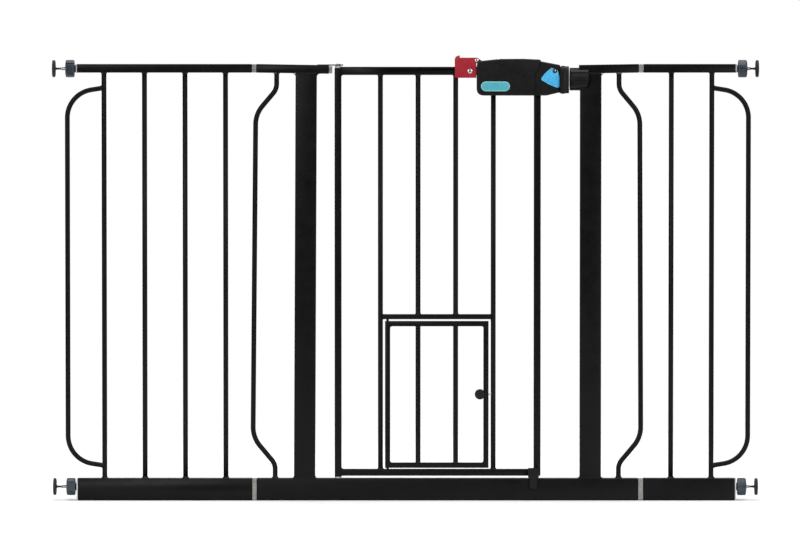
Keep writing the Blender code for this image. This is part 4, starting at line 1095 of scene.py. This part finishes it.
def receiver():
    """The ribbed barrel on the right upright, swept back under its outer end."""
    low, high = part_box("latch_receiver")
    radius = 19.8 * MM

    def ribs(angle):
        turn = math.degrees(math.asin(max(-1, min(1, math.sin(angle)))))
        nearest = min(abs(turn - groove) for groove in GROOVES)
        return 1 - 0.10 * max(0.0, min(1.0, (11 - nearest) / 3))

    rings = []
    for x, less in (
        (low.x, 0.5),
        (low.x + 0.2 * MM, 0.15),
        (low.x + 0.6 * MM, 0.0),
        (high.x - 1.2 * MM, 0.0),
        (high.x - 0.4 * MM, 0.4),
        (high.x, 1.2),
    ):
        centre = Vector((x, 0, BOLT_Z))
        rings.append(circle(centre, radius - less * MM, Y_AXIS, Z_AXIS, 120, ribs))
    barrel = loft(bmesh.new(), rings)
    top, foot = BOLT_Z + 30 * MM, BOLT_Z - 30 * MM
    outline = [(low.x - 2 * MM, foot), (low.x - 2 * MM, top), (high.x + 2 * MM, top)]
    outline.append((high.x + 2 * MM, BOLT_Z + 6 * MM))
    for step in range(13):
        angle = math.radians(7.5 * step)
        x = high.x - 14 * MM + 14 * MM * math.cos(angle)
        outline.append((x, BOLT_Z + 3 * MM - 24 * MM * math.sin(angle)))
    outline.append((high.x - 14 * MM, foot))
    keep = crowned_plate(bmesh.new(), outline, [(-60 * MM, 0.0), (60 * MM, 0.0)])
    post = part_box("right_upright")
    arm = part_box("right_arm")
    post_low = (post[0].x - 0.3 * MM, post[0].y - 0.3 * MM, 600 * MM)
    post_high = (400 * MM, post[1].y + 0.3 * MM, 800 * MM)
    arm_low = (arm[0].x - 0.3 * MM, arm[0].y - 0.3 * MM, arm[0].z - 0.4 * MM)
    arm_high = (400 * MM, arm[1].y + 0.3 * MM, 800 * MM)
    socket = [(4.8 * MM, -10 * MM), (4.8 * MM, 10 * MM)]
    mouth = [(6.4 * MM, -10 * MM), (4.8 * MM, 1.4 * MM)]
    base = (low.x, 0, BOLT_Z)
    steps = [
        ("INTERSECT", keep),
        ("DIFFERENCE", slab(bmesh.new(), post_low, post_high)),
        ("DIFFERENCE", slab(bmesh.new(), arm_low, arm_high)),
        ("DIFFERENCE", lathe(bmesh.new(), socket, base, X_AXIS, 28)),
        ("DIFFERENCE", lathe(bmesh.new(), mouth, base, X_AXIS, 28)),
    ]
    piece("receiver_barrel", carved(barrel, steps), BLACK, FRAME_BODY, ["latch_receiver"], 24)


def screw_head():
    """The cross-slotted screw in the lever's front face."""
    face = SHELL_HALF - 0.8 * MM
    profile = [
        (0, -12 * MM),
        (1.5 * MM, -12 * MM),
        (1.5 * MM, face),
        (2.9 * MM, face),
        (2.95 * MM, face + 0.5 * MM),
        (2.5 * MM, face + 1.1 * MM),
        (1.4 * MM, face + 1.5 * MM),
        (0, face + 1.6 * MM),
    ]
    centre = Vector(SCREW)
    edit = lathe(bmesh.new(), profile, centre, -Y_AXIS, 32)
    top = -(face + 0.9 * MM)
    cross = []
    for half_x, half_z in ((1.7, 0.32), (0.32, 1.7)):
        low = (centre.x - half_x * MM, top - 3 * MM, centre.z - half_z * MM)
        high = (centre.x + half_x * MM, top, centre.z + half_z * MM)
        cross.append(("DIFFERENCE", slab(bmesh.new(), low, high)))
    piece("lever_screw", carved(edit, cross), ZINC, "handle", ["handle_screw"], 30)


def pet_knob():
    """The small door's round knob, dished in front, with its bolt through the stile."""
    low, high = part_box("pet_latch")
    centre = Vector((low.x + 9 * MM, 0, (low.z + high.z) / 2))
    front = -low.y
    back = 5.7 * MM
    profile = [
        (0, 0),
        (1.6 * MM, 0),
        (1.6 * MM, back),
        (7.6 * MM, back),
        (8.6 * MM, back + 0.5 * MM),
        (9 * MM, back + 1.4 * MM),
        (9 * MM, front - 3.2 * MM),
        (8.6 * MM, front - 1.6 * MM),
        (7.6 * MM, front - 0.5 * MM),
        (6.4 * MM, front),
        (5.4 * MM, front - 0.3 * MM),
        (4 * MM, front - 0.9 * MM),
        (0, front - 1.2 * MM),
    ]
    edit = lathe(bmesh.new(), profile, centre, -Y_AXIS, 48)
    bolt = [
        (0, -4 * MM),
        (1.9 * MM, -4 * MM),
        (1.9 * MM, high.x - centre.x - 0.5 * MM),
        (1.4 * MM, high.x - centre.x),
        (0, high.x - centre.x),
    ]
    piece("pet_door_knob", edit, BLACK, "pet_latch_body", ["pet_latch"], 35)
    edit = lathe(bmesh.new(), bolt, centre, X_AXIS, 24)
    piece("pet_door_bolt", edit, ZINC, "pet_latch_body", (), 35)


# Setting


def studio():
    """White to the camera; dim to the gate, but for a bright band behind and overhead."""
    scene = bpy.context.scene
    scene.view_settings.view_transform = "Standard"
    world = bpy.data.worlds.new("studio")
    scene.world = world
    world.use_nodes = True
    tree = world.node_tree
    tree.nodes.clear()
    seen = tree.nodes.new("ShaderNodeBackground")
    seen.inputs["Color"].default_value = (1, 1, 1, 1)
    lit = tree.nodes.new("ShaderNodeBackground")
    lit.inputs["Strength"].default_value = 1.0
    direction = tree.nodes.new("ShaderNodeSeparateXYZ")
    place = tree.nodes.new("ShaderNodeTexCoord")
    tree.links.new(place.outputs["Generated"], direction.inputs[0])
    behind = map_range(tree, direction.outputs["Y"], 0.6, 0.93, 0.06, 0.55)
    above = map_range(tree, direction.outputs["Z"], 0.45, 0.9, 0.06, 0.9)
    larger = tree.nodes.new("ShaderNodeMath")
    larger.operation = "MAXIMUM"
    tree.links.new(behind, larger.inputs[0])
    tree.links.new(above, larger.inputs[1])
    tree.links.new(larger.outputs[0], lit.inputs["Color"])
    path = tree.nodes.new("ShaderNodeLightPath")
    mix = tree.nodes.new("ShaderNodeMixShader")
    out = tree.nodes.new("ShaderNodeOutputWorld")
    tree.links.new(path.outputs["Is Camera Ray"], mix.inputs["Fac"])
    tree.links.new(lit.outputs[0], mix.inputs[1])
    tree.links.new(seen.outputs[0], mix.inputs[2])
    tree.links.new(mix.outputs[0], out.inputs[0])
    softbox("key_left", (-3.2, -4.2, 1.9), (0, 0, 0.5), (2.4, 2.8), 120)
    softbox("key_right", (3.2, -4.2, 1.9), (0, 0, 0.5), (2.4, 2.8), 120)
    softbox("overhead", (0, 0.2, 4.2), (0, 0.2, 0), (5, 4), 190)


def softbox(name, place, aim, size, power):
    light = bpy.data.lights.new(name, "AREA")
    light.shape = "RECTANGLE"
    light.size, light.size_y = size
    light.energy = power
    made = bpy.data.objects.new(name, light)
    bpy.context.scene.collection.objects.link(made)
    made.location = place
    made.rotation_euler = (Vector(aim) - Vector(place)).to_track_quat("-Z", "Y").to_euler()
    made.visible_camera = False


def floor():
    """A pale floor that fades into the backdrop well away from the gate."""
    mesh = bpy.data.meshes.new("floor")
    edit = bmesh.new()
    bmesh.ops.create_circle(edit, cap_ends=True, segments=96, radius=5)
    edit.to_mesh(mesh)
    edit.free()
    made = bpy.data.objects.new("floor", mesh)
    bpy.context.scene.collection.objects.link(made)
    made.location = (0, 0, -0.2 * MM)
    finish = Finish("pale_floor", 0.55, specular=0.3)
    finish.colour(finish.ramp(finish.noise(1.5, 2), (0.86, 0.86, 0.86), (0.89, 0.89, 0.89)))
    length = finish.node("ShaderNodeVectorMath")
    length.operation = "LENGTH"
    finish.link(finish.place, length.inputs[0])
    solid = finish.range(length.outputs["Value"], 1.0, 0.0, 1.0, 2.2)
    finish.link(solid, finish.shader.inputs["Alpha"])
    mesh.materials.append(finish.material)


def camera():
    """A long lens square on to the gate's front, from a little above its middle."""
    distance, height, aim_height = 8.0, 0.68, 0.4077
    data = bpy.data.cameras.new("camera")
    data.sensor_width = 36
    data.lens = 206.15
    data.clip_end = 100
    made = bpy.data.objects.new("camera", data)
    bpy.context.scene.collection.objects.link(made)
    made.location = (-0.0096, -distance, height)
    tilt = math.atan2(height - aim_height, distance)
    made.rotation_euler = (math.pi / 2 - tilt, 0, 0)
    bpy.context.scene.camera = made


paint_cad()
round_tubes()
bowed_bars()
hoops()
frame_welds()
door_welds()
pet_door_welds()
threaded_rods()
wall_pads()
hand_nuts()
couplers()
handle_shells()
collar()
thumb_slide()
labels()
screw_head()
receiver()
pet_knob()
floor()
studio()
camera()
